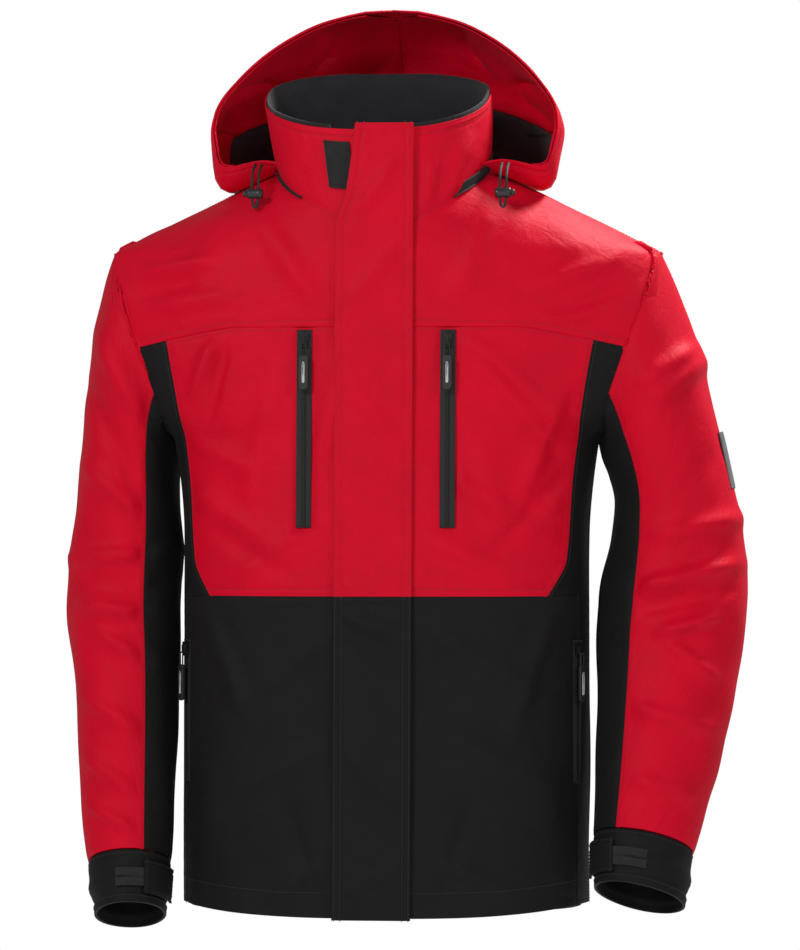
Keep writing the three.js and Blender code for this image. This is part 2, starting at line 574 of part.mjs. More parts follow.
// One ring of a sleeve; the last rings tip forward so that the cuff opens to the front.
function sleeveRing([outer, inner, depthY, halfDepth], side, tip, inset, drop) {
  const out = point(side * (BODY_HALF + outer[0] - drop * 0.15), 0, SHOULDER_Z - outer[1] - drop);
  const near = point(side * (BODY_HALF + inner[0] + drop * 0.02), 0, SHOULDER_Z - inner[1] - drop);
  const middle = out.clone().add(near).divideScalar(2);
  middle.y = depthY - drop * CUFF_TIP;
  const across = out.clone().sub(near).divideScalar(2);
  const width = across.length();
  across.multiplyScalar((width - inset) / width);
  const along = point(0, Math.cos(tip), -Math.sin(tip)).multiplyScalar(halfDepth - inset);
  return Array.from({ length: SLEEVE_POINTS }, (_, i) => {
    const angle = (2 * Math.PI * i) / SLEEVE_POINTS; // 0 is the outer edge, a quarter is the back
    return middle.clone().addScaledVector(across, Math.cos(angle)).addScaledVector(along, Math.sin(angle));
  });
}

const tipAt = (index, rows) => Math.max(0, (index - rows + 5) / 4) * Math.atan(CUFF_TIP);
const sleeveRings = (rows, side, inset) =>
  rows.map((row, index) => sleeveRing(row, side, tipAt(index, rows.length), inset, 0));
const wedge = (rings, from, to) => rings.map((points) =>
  Array.from({ length: to - from + 1 }, (_, i) => points[(from + i + SLEEVE_POINTS) % SLEEVE_POINTS]));

// Moves a strip's two long edges in by half a seam.
function trimmed(grid) {
  return grid.map((row) => {
    const copy = row.map((p) => p.clone());
    const [a, b] = [copy[0], copy[1]];
    a.addScaledVector(b.clone().sub(a).normalize(), SEAM / 2);
    const [y, z] = [copy.at(-2), copy.at(-1)];
    z.addScaledVector(y.clone().sub(z).normalize(), SEAM / 2);
    return copy;
  });
}

const TAB_OUT = 1.8; // the tab lies over the loop strip
const TAB_THICK = 2.2;
const RED_HALF = 6; // ring steps from the outer edge to the red panel's seams
for (const [hand, side] of SIDES) {
  const rows = SLEEVES[hand];
  const [outer, inner] = [0, SHELL].map((inset) => {
    const rings = sleeveRings(rows, side, inset);
    rings[0] = rings[0].map((p) => point(p.x + side * SEAM, p.y, p.z - SEAM * 0.4));
    return rings;
  });
  const strip = (from, to) => sheet(trimmed(wedge(outer, from, to)), trimmed(wedge(inner, from, to)));
  add("sleeve_outer_" + hand, strip(-RED_HALF, RED_HALF), RED);
  add("sleeve_inner_" + hand, strip(RED_HALF, SLEEVE_POINTS - RED_HALF), BLACK);

  // Cuff, loop strip and tab follow one tapering tube below the last sleeve ring.
  const end = rows.at(-1);
  const tip = Math.atan(CUFF_TIP);
  const cuffRings = (inset, low, high) => [high, (low + high) / 2, low].map((drop) =>
    sleeveRing(end, side, tip, inset, drop));
  const tube = (outset, inset, from, to) =>
    loft(cuffRings(outset, to, from)).subtract(loft(cuffRings(inset, to + 9, from - 9)));
  add("cuff_" + hand, tube(1, SHELL + 1, SEAM * 2, CUFF_LENGTH), BLACK);
  const overlay = (outset, thick, from, to, first, last) => sheet(
    wedge(cuffRings(1 - outset - thick, to, from), first, last),
    wedge(cuffRings(1 - outset, to, from), first, last));
  add("cuff_loop_strip_" + hand, overlay(0.3, 1, 24, 42, 10 - 2, 10 + 4), HOOK);
  const sewn = [48, 14].map((drop) => sleeveRing(end, side, tip, 1 - TAB_OUT - TAB_THICK / 2, drop)[9]);
  const hinge = new THREE.Group();
  hinge.name = "cuff_tab_" + hand + "_axis";
  hinge.position.copy(sewn[0]);
  hinge.quaternion.setFromUnitVectors(point(0, 0, 1), sewn[1].clone().sub(sewn[0]).normalize());
  hinge.updateMatrix();
  const tab = geometryOf(overlay(TAB_OUT, TAB_THICK, 14, 48, 9, 12));
  tab.applyMatrix4(hinge.matrix.clone().invert());
  add("cuff_tab_" + hand, tab, BLACK, hinge);
  jacket.add(hinge);
}

// ---- Badge, hanger loop -------------------------------------------------
const badgeRow = SLEEVES.left[4];
const badgeUp = point(SLEEVES.left[3][0][0] - SLEEVES.left[5][0][0], 0,
  SLEEVES.left[5][0][1] - SLEEVES.left[3][0][1]).normalize();
const badgeTilt = Math.atan2(badgeUp.x, badgeUp.z);
const badge = new THREE.BoxGeometry(BADGE.thick, BADGE.width, BADGE.height);
badge.rotateY(badgeTilt).translate(
  BODY_HALF + badgeRow[0][0] + BADGE.thick / 2 - 0.4, badgeRow[2] - 4, SHOULDER_Z - badgeRow[0][1] + 4);
add("sleeve_badge", badge, FLEECE);

const LOOP = { half: 26, reach: 14, strap: 8, thick: 1.6 };
const LOOP_Y = COLLAR_BACK - 6.4; // the strap's sewn ends, against the collar's lining
const LOOP_Z = neckSeam(COLLAR_BACK) + 8;
const loopShape = new THREE.Shape();
loopShape.moveTo(-LOOP.half, 0);
loopShape.quadraticCurveTo(-LOOP.half + 6, -LOOP.reach, 0, -LOOP.reach);
loopShape.quadraticCurveTo(LOOP.half - 6, -LOOP.reach, LOOP.half, 0);
loopShape.lineTo(LOOP.half - LOOP.thick * 1.3, 0);
loopShape.quadraticCurveTo(LOOP.half - 7, -LOOP.reach + LOOP.thick, 0, -LOOP.reach + LOOP.thick);
loopShape.quadraticCurveTo(-LOOP.half + 7, -LOOP.reach + LOOP.thick, -LOOP.half + LOOP.thick * 1.3, 0);
const strap = { depth: LOOP.strap, bevelEnabled: false, curveSegments: 6 };
const hanger = new THREE.ExtrudeGeometry(loopShape, strap);
hanger.translate(0, LOOP_Y, LOOP_Z - LOOP.strap / 2);
add("hanger_loop", hanger, TAPE);

// ---- The finished jacket, with the hanger loop's strap at the origin ----
jacket.position.set(0, -(LOOP_Y - LOOP.reach), -LOOP_Z);
const assembly = new THREE.Group();
assembly.add(jacket);
export default assembly;
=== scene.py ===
# %% [markdown]
# # A hooded foul weather jacket
# The jacket is sewn from red and black shell-fabric panels over a thin layer of wadding.
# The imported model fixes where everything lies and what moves. This script dresses it: each
# soft panel is rebuilt as a fine curved sheet with folds, seams and stitches, and each hard
# piece is given its finish.

# %% Load the frame
import math
import bmesh
import bpy
import numpy as np
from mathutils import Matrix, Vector


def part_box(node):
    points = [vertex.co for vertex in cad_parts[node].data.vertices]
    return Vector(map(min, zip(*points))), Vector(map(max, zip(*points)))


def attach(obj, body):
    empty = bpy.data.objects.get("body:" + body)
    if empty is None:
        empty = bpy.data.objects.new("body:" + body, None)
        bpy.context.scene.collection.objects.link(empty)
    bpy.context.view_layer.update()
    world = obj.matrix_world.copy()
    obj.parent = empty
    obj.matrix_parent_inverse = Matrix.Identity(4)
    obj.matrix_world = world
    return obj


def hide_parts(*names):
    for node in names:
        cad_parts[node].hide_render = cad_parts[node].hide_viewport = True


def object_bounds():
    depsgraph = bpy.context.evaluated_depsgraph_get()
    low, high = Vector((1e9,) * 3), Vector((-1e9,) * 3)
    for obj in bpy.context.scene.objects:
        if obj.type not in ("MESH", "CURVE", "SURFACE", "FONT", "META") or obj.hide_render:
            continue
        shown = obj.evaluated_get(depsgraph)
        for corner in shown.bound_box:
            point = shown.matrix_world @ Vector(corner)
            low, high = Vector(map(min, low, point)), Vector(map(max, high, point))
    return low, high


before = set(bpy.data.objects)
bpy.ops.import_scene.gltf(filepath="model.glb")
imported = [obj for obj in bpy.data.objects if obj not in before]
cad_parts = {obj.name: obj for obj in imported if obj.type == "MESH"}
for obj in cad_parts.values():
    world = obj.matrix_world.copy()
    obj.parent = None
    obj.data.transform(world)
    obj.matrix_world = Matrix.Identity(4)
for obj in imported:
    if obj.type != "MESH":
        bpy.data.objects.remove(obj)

cad_box = [list(corner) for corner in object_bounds()]
MM = 0.001
JACKET = "jacket"
SIDES = {"right": -1, "left": 1}  # the wearer's right is -X

# %% [markdown]
# ## Camera, floor and light
# The jacket hangs in soft light against white. A long lens from well back keeps its
# proportions. The key lamp stands behind and above on the wearer's left and gives the sheen on
# that shoulder. A broad front lamp, a low one and a weak one at the edge open up the shadows.

# %% Camera
VIEW_AZIMUTH = math.radians(6)
VIEW_DISTANCE = 6.5
VIEW_LENS = 234.0
hem_low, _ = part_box("front_lower_left")
AIM = Vector((0.0158, -0.062, hem_low[2] + 0.464))

camera_data = bpy.data.cameras.new("camera")
camera_data.lens = VIEW_LENS
camera_data.clip_end = 50
camera = bpy.data.objects.new("camera", camera_data)
bpy.context.scene.collection.objects.link(camera)
camera.location = AIM + VIEW_DISTANCE * Vector((math.sin(VIEW_AZIMUTH), -math.cos(VIEW_AZIMUTH), 0))
camera.rotation_euler = (math.pi / 2, 0, VIEW_AZIMUTH)
bpy.context.scene.camera = camera
print("camera at", [round(v, 3) for v in camera.location])

# %% [markdown]
# The floor lies well below the hem, and the surround is white with a dim, even light of its own.

# %% Floor, surround and lamps
def link(obj):
    bpy.context.scene.collection.objects.link(obj)
    return obj


def mesh_object(name, points, faces):
    mesh = bpy.data.meshes.new(name)
    mesh.from_pydata([tuple(p) for p in points], [], [tuple(f) for f in faces])
    return link(bpy.data.objects.new(name, mesh))


FLOOR_Z = cad_box[0][2] - 0.75
pale = bpy.data.materials.new("pale_floor")
pale.use_nodes = True
pale.node_tree.nodes["Principled BSDF"].inputs["Base Color"].default_value = (0.85, 0.85, 0.85, 1)
pale.node_tree.nodes["Principled BSDF"].inputs["Roughness"].default_value = 0.9
floor = mesh_object("floor", [(x, y, FLOOR_Z) for x, y in ((-4, -4), (4, -4), (4, 4), (-4, 4))],
                    [(0, 1, 2, 3)])
floor.data.materials.append(pale)

# The surround is white to look at but gives only a dim, even light.
SURROUND_LIGHT = 0.24
world = bpy.data.worlds.new("soft_surround")
world.use_nodes = True
surround = world.node_tree.nodes["Background"]
surround.inputs["Color"].default_value = (1, 1, 1, 1)
seen = world.node_tree.nodes.new("ShaderNodeLightPath")
level = world.node_tree.nodes.new("ShaderNodeMath")
level.operation = "MULTIPLY_ADD"
level.inputs[1].default_value = 1.0 - SURROUND_LIGHT
level.inputs[2].default_value = SURROUND_LIGHT
world.node_tree.links.new(seen.outputs["Is Camera Ray"], level.inputs[0])
world.node_tree.links.new(level.outputs[0], surround.inputs["Strength"])
bpy.context.scene.world = world
bpy.context.scene.view_settings.view_transform = "Standard"


def lamp(name, place, aim, size, power):
    data = bpy.data.lights.new(name, "AREA")
    data.shape = "DISK"
    data.size = size
    data.energy = power
    obj = link(bpy.data.objects.new(name, data))
    obj.location = place
    obj.rotation_euler = (Vector(aim) - Vector(place)).to_track_quat("-Z", "Y").to_euler()


lamp("key", (0.95, 0.75, 1.45), (0.2, -0.03, -0.1), 0.45, 58)
lamp("front", (-1.5, -2.7, 1.3), (0, -0.05, -0.35), 0.8, 38)
lamp("low", (0.3, -3.0, -0.75), (0, -0.05, 0.05), 1.0, 11)
lamp("edge", (1.9, -1.4, 0.7), (0.15, -0.05, -0.3), 0.6, 9)

# %% [markdown]
# ## Measures
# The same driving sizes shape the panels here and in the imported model, in millimetres from the
# centre front of the hem. `place` carries them into the row frame, whose origin is the hanger
# loop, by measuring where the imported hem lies.

# %% Driving sizes
BODY_HALF = 213
SHOULDER_Z = 697
UNDERARM_Z = 500
FRONT_AT_HEM = -148
FRONT_LEAN = 0.0446
SIDE_Y = -15
YOKE_Z = 618
CHEST_Z = 338
SIDE_X = 205
COLLAR_HALF = 108
COLLAR_BACK = 52
COLLAR_FRONT_Z = 723
COLLAR_RISE = 107
ORIGIN = np.array((0, hem_low[1] / MM - FRONT_AT_HEM, hem_low[2] / MM))


def place(points):
    """Millimetres from the hem to metres in the row frame."""
    return (np.asarray(points, float) + ORIGIN) * MM


print("hem centre lies at", np.round(place([0, 0, 0]), 4))

# %% [markdown]
# ## The body's surface
# A worn jacket's body is a stack of soft ovals that flare at the chest and close over the
# shoulders. Smooth curves through a few sections give its half width, back depth and
# squareness at every height. `w` runs round one half, from 0 at the centre front, through 0.5
# at the side, to 1 at the centre back.

# %% Smooth curves through a few values
def curve_through(knots, values):
    """A smooth function through the points that never overshoots them."""
    knots, values = np.asarray(knots, float), np.asarray(values, float)
    steps = np.diff(values) / np.diff(knots)
    slopes = np.zeros_like(values)
    same = steps[:-1] * steps[1:] > 0
    slopes[1:-1][same] = 2 * steps[:-1][same] * steps[1:][same] / (steps[:-1] + steps[1:])[same]
    slopes[0], slopes[-1] = steps[0], steps[-1]

    def value(at):
        at = np.clip(at, knots[0], knots[-1])
        i = np.clip(np.searchsorted(knots, at) - 1, 0, len(knots) - 2)
        span = knots[i + 1] - knots[i]
        t = (at - knots[i]) / span
        rise = values[i] * (2 * t**3 - 3 * t**2 + 1) + values[i + 1] * (3 * t**2 - 2 * t**3)
        return rise + span * (slopes[i] * (t**3 - 2 * t**2 + t) + slopes[i + 1] * (t**3 - t**2))

    return value


def smoothstep(low, high, at):
    t = np.clip((np.asarray(at, float) - low) / (high - low), 0, 1)
    return t * t * (3 - 2 * t)


# height, half width, depth of the back, squareness
SECTIONS = np.array([
    (0, 213, 118, 2.6), (200, 213, 120, 2.6), (400, 214, 124, 2.6), (500, 224, 128, 2.4),
    (532, 265, 126, 2.3), (587, 301, 122, 2.2), (637, 310, 114, 2.1), (675, 300, 102, 2.0),
    (697, 290, 92, 1.9), (712, 262, 86, 1.8), (730, 226, 78, 1.7), (748, 188, 70, 1.55),
    (766, 152, 62, 1.45), (785, 112, 53, 1.4), (800, 85, 40, 1.4)])
half_at, back_at, square_at = (curve_through(SECTIONS[:, 0], SECTIONS[:, k]) for k in (1, 2, 3))


def front_at(z):
    return FRONT_AT_HEM + FRONT_LEAN * z


def body_point(w, z, side, inset=0.0):
    angle = (w - 0.5) * np.pi
    power = 2 / square_at(z)
    across = np.maximum(np.cos(angle), 0) ** power
    along = np.abs(np.sin(angle)) ** power
    depth = np.where(angle < 0, front_at(z) - SIDE_Y + inset, back_at(z) - SIDE_Y - inset)
    return np.stack(np.broadcast_arrays(side * (half_at(z) - inset) * across, SIDE_Y + depth * along, z), -1)


def w_at(x, z):
    """Where the front half reaches x; the back half reaches it at 1 - w."""
    share = np.clip(np.abs(x) / half_at(z), 0, 1)
    return 0.5 - np.arccos(share ** (square_at(z) / 2)) / np.pi


print("body at the waist:", 2 * half_at(200), "mm across")

# %% [markdown]
# The seams are lines on that surface: a width at each height, or a height at each width.
# The collar's outline cuts the body where its depth and the body's are the same.

# %% Seam lines on the body
side_edge = curve_through((338, 376, 460, 540, 660), (178, 196, 202, 213, 235))


def yoke_seam(x):
    return YOKE_Z - 0.19 * np.maximum(np.abs(x) - 150, 0) ** 1.15 * 0.5


def hem_line(x):
    """The hem rises a little towards the sides."""
    return 5 + 12 * (np.abs(x) / BODY_HALF) ** 3


def armhole_x(z):
    return BODY_HALF + 9 + (z - UNDERARM_Z) * 68 / 197


def armhole_w(z):
    rounded = smoothstep(UNDERARM_Z, UNDERARM_Z + 28, z)
    return 0.5 - (0.5 - w_at(armhole_x(z), z)) * rounded


def collar_outline(angle, level):
    """Where the collar's outside lies round the neck: angle 0 is the wearer's left and a
    quarter turn the back."""
    half = COLLAR_HALF + 12 * level + 10 * level * (1 - level)
    front = front_at(COLLAR_FRONT_Z + COLLAR_RISE * level)
    back = COLLAR_BACK + 3 * level
    power = 2 / 2.4
    c, s = np.cos(angle), np.sin(angle)
    y = np.where(s < 0, SIDE_Y - np.abs(s) ** power * (SIDE_Y - front),
                 SIDE_Y + np.abs(s) ** power * (back - SIDE_Y))
    return np.sign(c) * np.abs(c) ** power * half, y


def neck_height(angle):
    """The height at which the collar's outline meets the body."""
    x, y = collar_outline(angle, 0 * angle)
    low, high = np.full_like(x, 690.0), np.full_like(x, 799.0)
    for _ in range(30):
        z = (low + high) / 2
        rest = np.maximum(0, 1 - np.abs(x / half_at(z)) ** square_at(z)) ** (1 / square_at(z))
        depth = np.where(y < SIDE_Y, SIDE_Y - front_at(z), back_at(z) - SIDE_Y) * rest
        outside = depth > np.abs(y - SIDE_Y)
        low, high = np.where(outside, z, low), np.where(outside, high, z)
    return (low + high) / 2


print("neck seam, front to back:", np.round(neck_height(np.radians([-88, -45, 0, 45, 90])), 0))

# %% [markdown]
# ## Panels as grids
# A sewn panel is easiest to control as a grid of points whose outer rows lie on its seams. The
# rows crowd together near the seams, where the cloth turns in sharply, and are wider in the
# middle. Running lengths along the grid tell how far each point is from each seam, and give a
# map in metres along the cloth, which the weave and the stitches follow.

# %% Grids between seams
EDGE_STEPS = np.array((0, 0.8, 1.8, 3.0, 4.6, 6.2, 7.4, 8.6, 10.2, 12.5))


def spread(length, step=3.6):
    """Shares from 0 to 1 along a length in millimetres, close together near both ends."""
    inner = max(2, int((length - 2 * EDGE_STEPS[-1]) / step))
    middle = np.linspace(EDGE_STEPS[-1], length - EDGE_STEPS[-1], inner + 1)
    return np.concatenate((EDGE_STEPS[:-1], middle, length - EDGE_STEPS[-2::-1])) / length


FIRST_GUESS_X = 100.0  # where the search for a panel's heights begins


def body_grid(side, inner, outer, low, high, cols, rows, back=False):
    """inner and outer give x at a height, low and high give the height at an x."""
    s, t = np.meshgrid(cols, rows)
    guess = np.full_like(s, FIRST_GUESS_X)
    z = low(guess) * (1 - t) + high(guess) * t
    for _ in range(4):
        w = w_at(inner(z), z) * (1 - s) + w_at(outer(z), z) * s
        x = np.abs(body_point(w, z, 1)[..., 0])
        z = low(x) * (1 - t) + high(x) * t
    return body_point(1 - w if back else w, z, side)


def lengths(grid):
    """Running length along the columns and along the rows, in millimetres."""
    across = np.linalg.norm(np.diff(grid, axis=1), axis=2)
    along = np.linalg.norm(np.diff(grid, axis=0), axis=2)
    u = np.concatenate((np.zeros((grid.shape[0], 1)), np.cumsum(across, 1)), 1)
    v = np.concatenate((np.zeros((1, grid.shape[1])), np.cumsum(along, 0)), 0)
    return u, v


def normals_of(grid, facing=1):
    du = np.gradient(grid, axis=1)
    dv = np.gradient(grid, axis=0)
    n = np.cross(du, dv) * facing
    return n / np.maximum(np.linalg.norm(n, axis=2, keepdims=True), 1e-9)


print("one seam's rows lie at", EDGE_STEPS, "mm")

# %% [markdown]
# ## Folds and seams
# Cloth isn't smooth: it holds a few large folds where it hangs from a point, a gentle slack
# everywhere, and tight little puckers beside each seam. The large folds are placed one by one, each
# as a ridge or valley from one point to another in front view. The slack is a sum of slow waves
# in fixed directions, which costs little and gives the same cloth on each run.

# %% Slack, folds and seam puckers
rng = np.random.default_rng(7)
WAVES = [(rng.normal(size=3) / rng.uniform(16, 46), rng.uniform(0, 6.28)) for _ in range(16)]


def slack(points, stretch=(1, 1, 1)):
    """A gentle unevenness of about one, in slow waves."""
    p = points * np.asarray(stretch)
    bend = np.stack([np.sin(p @ WAVES[k][0] * 0.5 + WAVES[k][1]) for k in (0, 1, 2)], -1) * 14
    return sum(np.sin((p + bend) @ k + phase) for k, phase in WAVES) / 5


def stroke(points, start, end, width, height):
    """A ridge (or a valley, below zero) between two [x, z] points, fading at both ends."""
    a, b = np.asarray(start, float), np.asarray(end, float)
    flat = points[..., (0, 2)]
    along = b - a
    t = ((flat - a) @ along) / (along @ along)
    gap = flat - a - np.clip(t, 0, 1)[..., None] * along
    offset = np.linalg.norm(gap, axis=-1)
    fade = smoothstep(-0.15, 0.3, t) * (1 - smoothstep(0.7, 1.15, t))
    return height * np.exp(-((offset / (0.85 * width)) ** 2)) * fade


TOPSTITCH = 8.0  # how far the row of stitches lies from its seam
DEEPEST = 4.5  # a valley goes no deeper than this, so that the lining stays inside
FOLD_DEPTH = 2.6  # the fold lists give gentle heights, and this deepens them all


def pushed(grid, facing, lift):
    """The grid moved outwards by lift millimetres."""
    return grid + normals_of(grid, facing) * lift[..., None]


def shaped(grid, facing=1, sewn=(1, 1, 1, 1), stitched=(0, 0, 0, 0), folds=(), pressed=(), loose=1.0,
           stretch=(1, 1, 0.6), turn=1.8, pucker=0.5):
    """Pushes a grid in and out: folds, slack, and an edge that turns in at each sewn side.
    sewn and stitched speak of the first column, last column, first row and last row.
    pressed lists rectangles (x0, x1, z0, z1, depth) where something lies flat on the cloth."""
    u, v = lengths(grid)
    distances = [u, u[:, -1:] - u, v, v[-1:, :] - v]
    near = np.full(u.shape, 1e3)
    lift = np.zeros(u.shape)
    for is_sewn, is_stitched, distance, run in zip(sewn, stitched, distances, (v, v, u, u)):
        if not is_sewn:
            continue
        near = np.minimum(near, distance)
        wave = np.sin(run * 0.42 + 2.1 * np.sin(run * 0.061)) * (0.6 + 0.4 * np.sin(run * 0.023 + 1))
        lift += pucker * wave * np.exp(-distance / 14) * is_sewn
        lift -= 0.9 * is_stitched * np.exp(-(((distance - TOPSTITCH) / 1.8) ** 2))
    calm = smoothstep(0, 70, near)
    lift += 1.5 * loose * slack(grid, stretch) * (0.35 + 0.65 * calm)
    for fold in folds:
        lift += FOLD_DEPTH * stroke(grid, *fold) * smoothstep(0, 22, near)
    lift *= smoothstep(0, 11, near)
    lift -= turn * np.exp(-((near / 2.4) ** 2)) * smoothstep(-1, 3.5, near)
    lift -= 0.4 * (near < 0.3)
    lift = np.where(lift < 0, DEEPEST * np.tanh(lift / DEEPEST), lift)
    for x0, x1, z0, z1, depth in pressed:
        inside = smoothstep(x0 - 5, x0, grid[..., 0]) * (1 - smoothstep(x1, x1 + 5, grid[..., 0]))
        inside *= smoothstep(z0 - 5, z0, grid[..., 2]) * (1 - smoothstep(z1, z1 + 5, grid[..., 2]))
        lift = lift * (1 - inside) - depth * inside
    return pushed(grid, facing, lift)


print("slow waves:", len(WAVES))

# %% [markdown]
# ## Cloth from a grid
# Each panel is closed: the same grid again a little inside, joined round the rim. It keeps an
# unwrapped map in metres for the weave.

# %% Closed sheets
def sheet_parts(outer, thick, facing=1, wrap=False):
    """Points, faces and cloth map of one closed sheet; wrap joins the last column to the first."""
    rows, cols = outer.shape[:2]
    closed = np.concatenate((outer[:, -2:-1], outer, outer[:, 1:2]), 1) if wrap else outer
    n = normals_of(closed, facing)
    inside = outer - (n[:, 1:-1] if wrap else n) * thick
    points = np.concatenate((outer.reshape(-1, 3), inside.reshape(-1, 3)))
    index = np.arange(rows * cols).reshape(rows, cols)
    quads = np.stack((index[:-1, :-1], index[:-1, 1:], index[1:, 1:], index[1:, :-1]), -1).reshape(-1, 4)
    under = quads[:, ::-1] + rows * cols
    rims = [index[0], index[-1][::-1]] if wrap else [
        np.concatenate((index[0], index[1:, -1], index[-1, -2::-1], index[-2::-1, 0]))]
    edge = [np.stack((rim[1:], rim[:-1], rim[:-1] + rows * cols, rim[1:] + rows * cols), -1) for rim in rims]
    faces = np.concatenate((quads, under, *edge))
    u, v = lengths(outer)
    flat = np.stack((u.ravel(), v.ravel()), -1) * MM
    return points, faces if facing > 0 else faces[:, ::-1], np.concatenate((flat, flat))


def sheet_object(name, parts, welded=False):
    """One object from several closed sheets."""
    points = np.concatenate([part[0] for part in parts])
    starts = np.cumsum([0] + [len(part[0]) for part in parts[:-1]])
    faces = np.concatenate([part[1] + start for part, start in zip(parts, starts)])
    flat = np.concatenate([part[2] for part in parts])
    mesh = bpy.data.meshes.new(name)
    mesh.from_pydata(place(points).tolist(), [], faces.tolist())
    layer = mesh.uv_layers.new(name="cloth")
    loops = np.empty(len(mesh.loops), int)
    mesh.loops.foreach_get("vertex_index", loops)
    layer.data.foreach_set("uv", flat[loops].ravel())
    if welded:
        weld(mesh)
    smooth(mesh)
    mesh.update()
    return link(bpy.data.objects.new(name, mesh))


def smooth(mesh):
    mesh.polygons.foreach_set("use_smooth", np.ones(len(mesh.polygons), bool))


def weld(mesh, distance=1e-6):
    bm = bmesh.new()
    bm.from_mesh(mesh)
    bmesh.ops.remove_doubles(bm, verts=bm.verts, dist=distance)
    bmesh.ops.recalc_face_normals(bm, faces=bm.faces)
    bm.to_mesh(mesh)
    bm.free()


PANELS = {}  # name to its finished grids and their facing, for the stitches


def cloth(name, grids, look, facing=1, thick=2.4, body=JACKET, held="stretched",
          rests_on=("body_lining",), wrap=False, tall=None):
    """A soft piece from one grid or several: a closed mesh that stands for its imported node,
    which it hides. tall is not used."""
    parts = [sheet_parts(grid, thick, facing, wrap) for grid in grids]
    obj = sheet_object("cloth_" + name, parts, wrap)
    obj.data.materials.append(look)
    PANELS[name] = (grids, facing)
    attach(obj, body)
    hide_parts(name)
    tall = tall or max(0.0101, max(lengths(g)[1][-1].max() for g in grids) * MM)
    return obj


print("sheets are closed and keep a map in metres")

# %% [markdown]
# ## Materials
# The shell fabric is a tightly woven nylon with a soft sheen: a fine weave that only shows close
# up, a slow mottle where the wadding presses from behind, and a pale glow at grazing light. The
# pieces in one colour share one recipe, so each recipe is a function of its colour.

# %% Node helpers
def new_material(name):
    material = bpy.data.materials.new(name)
    material.use_nodes = True
    return material, material.node_tree, material.node_tree.nodes["Principled BSDF"]


def node(tree, kind, inputs=None, **settings):
    made = tree.nodes.new(kind)
    for key, value in settings.items():
        setattr(made, key, value)
    for key, value in (inputs or {}).items():
        if isinstance(value, bpy.types.NodeSocket):
            tree.links.new(value, made.inputs[key])
        else:
            made.inputs[key].default_value = value
    return made


def math_node(tree, operation, a, b=0.0, c=0.0):
    return node(tree, "ShaderNodeMath", {0: a, 1: b, 2: c}, operation=operation).outputs[0]


def ramp(tree, factor, stops):
    made = node(tree, "ShaderNodeValToRGB", {"Fac": factor})
    elements = made.color_ramp.elements
    while len(elements) < len(stops):
        elements.new(0.5)
    for element, (position, colour) in zip(elements, stops):
        element.position = position
        element.color = colour if len(colour) == 4 else (*colour, 1)
    return made.outputs["Color"]


# %% [markdown]
# The weave is two crossed waves on the cloth map, with a fine noise for uneven threads.

# %% Woven shell fabric
def woven_group():
    """Colour shading and height of a plain weave, on a map in metres."""
    group = bpy.data.node_groups.new("plain_weave", "ShaderNodeTree")
    group.interface.new_socket("Threads per metre", in_out="INPUT", socket_type="NodeSocketFloat")
    group.interface.new_socket("Shade", in_out="OUTPUT", socket_type="NodeSocketFloat")
    group.interface.new_socket("Height", in_out="OUTPUT", socket_type="NodeSocketFloat")
    source = node(group, "NodeGroupInput")
    sink = node(group, "NodeGroupOutput")
    cloth = node(group, "ShaderNodeUVMap", uv_map="cloth").outputs["UV"]
    parts = node(group, "ShaderNodeSeparateXYZ", {0: cloth})
    waves = []
    for axis in (0, 1):
        turns = math_node(group, "MULTIPLY", parts.outputs[axis], source.outputs[0])
        waves.append(math_node(group, "SINE", math_node(group, "MULTIPLY", turns, 2 * math.pi)))
    crossing = math_node(group, "MULTIPLY", waves[0], waves[1])
    slubs = node(group, "ShaderNodeTexNoise", {"Vector": cloth, "Scale": 900.0, "Detail": 2.0}).outputs["Fac"]
    mixed = math_node(group, "MULTIPLY_ADD", crossing, 0.35, slubs)
    group.links.new(mixed, sink.inputs["Height"])
    group.links.new(math_node(group, "MULTIPLY_ADD", crossing, 0.5, 0.5), sink.inputs["Shade"])
    return group


WEAVE = woven_group()


THREADS_PER_METRE = 1100.0


def shell_fabric(name, light, dark, sheen, roughness=0.55):
    material, tree, surface = new_material(name)
    cloth = node(tree, "ShaderNodeUVMap", uv_map="cloth").outputs["UV"]
    weave_node = node(tree, "ShaderNodeGroup", node_tree=WEAVE)
    weave_node.inputs[0].default_value = THREADS_PER_METRE
    mottle = node(tree, "ShaderNodeTexNoise",
                  {"Vector": cloth, "Scale": 14.0, "Detail": 5.0, "Roughness": 0.62})
    tone = math_node(tree, "MULTIPLY_ADD", weave_node.outputs["Shade"], 0.16, mottle.outputs["Fac"])
    tree.links.new(ramp(tree, tone, [(0.25, dark), (0.85, light)]), surface.inputs["Base Color"])
    crumple = node(tree, "ShaderNodeTexNoise",
                   {"Vector": cloth, "Scale": 62.0, "Detail": 4.0, "Roughness": 0.55,
                                                "Distortion": 0.8})
    soft = node(tree, "ShaderNodeBump",
                {"Height": crumple.outputs["Fac"], "Strength": 0.28, "Distance": 0.004})
    fine = node(tree, "ShaderNodeBump", {"Height": weave_node.outputs["Height"], "Strength": 0.22,
                                         "Distance": 0.0004, "Normal": soft.outputs["Normal"]})
    tree.links.new(fine.outputs["Normal"], surface.inputs["Normal"])
    worn = math_node(tree, "MULTIPLY_ADD", mottle.outputs["Fac"], 0.16, roughness - 0.08)
    tree.links.new(worn, surface.inputs["Roughness"])
    surface.inputs["Specular IOR Level"].default_value = 0.11
    surface.inputs["Sheen Weight"].default_value = sheen
    surface.inputs["Sheen Roughness"].default_value = 0.45
    surface.inputs["Sheen Tint"].default_value = (1, 0.45, 0.5, 1) if light[0] > 0.2 else (1, 1, 1, 1)
    return material


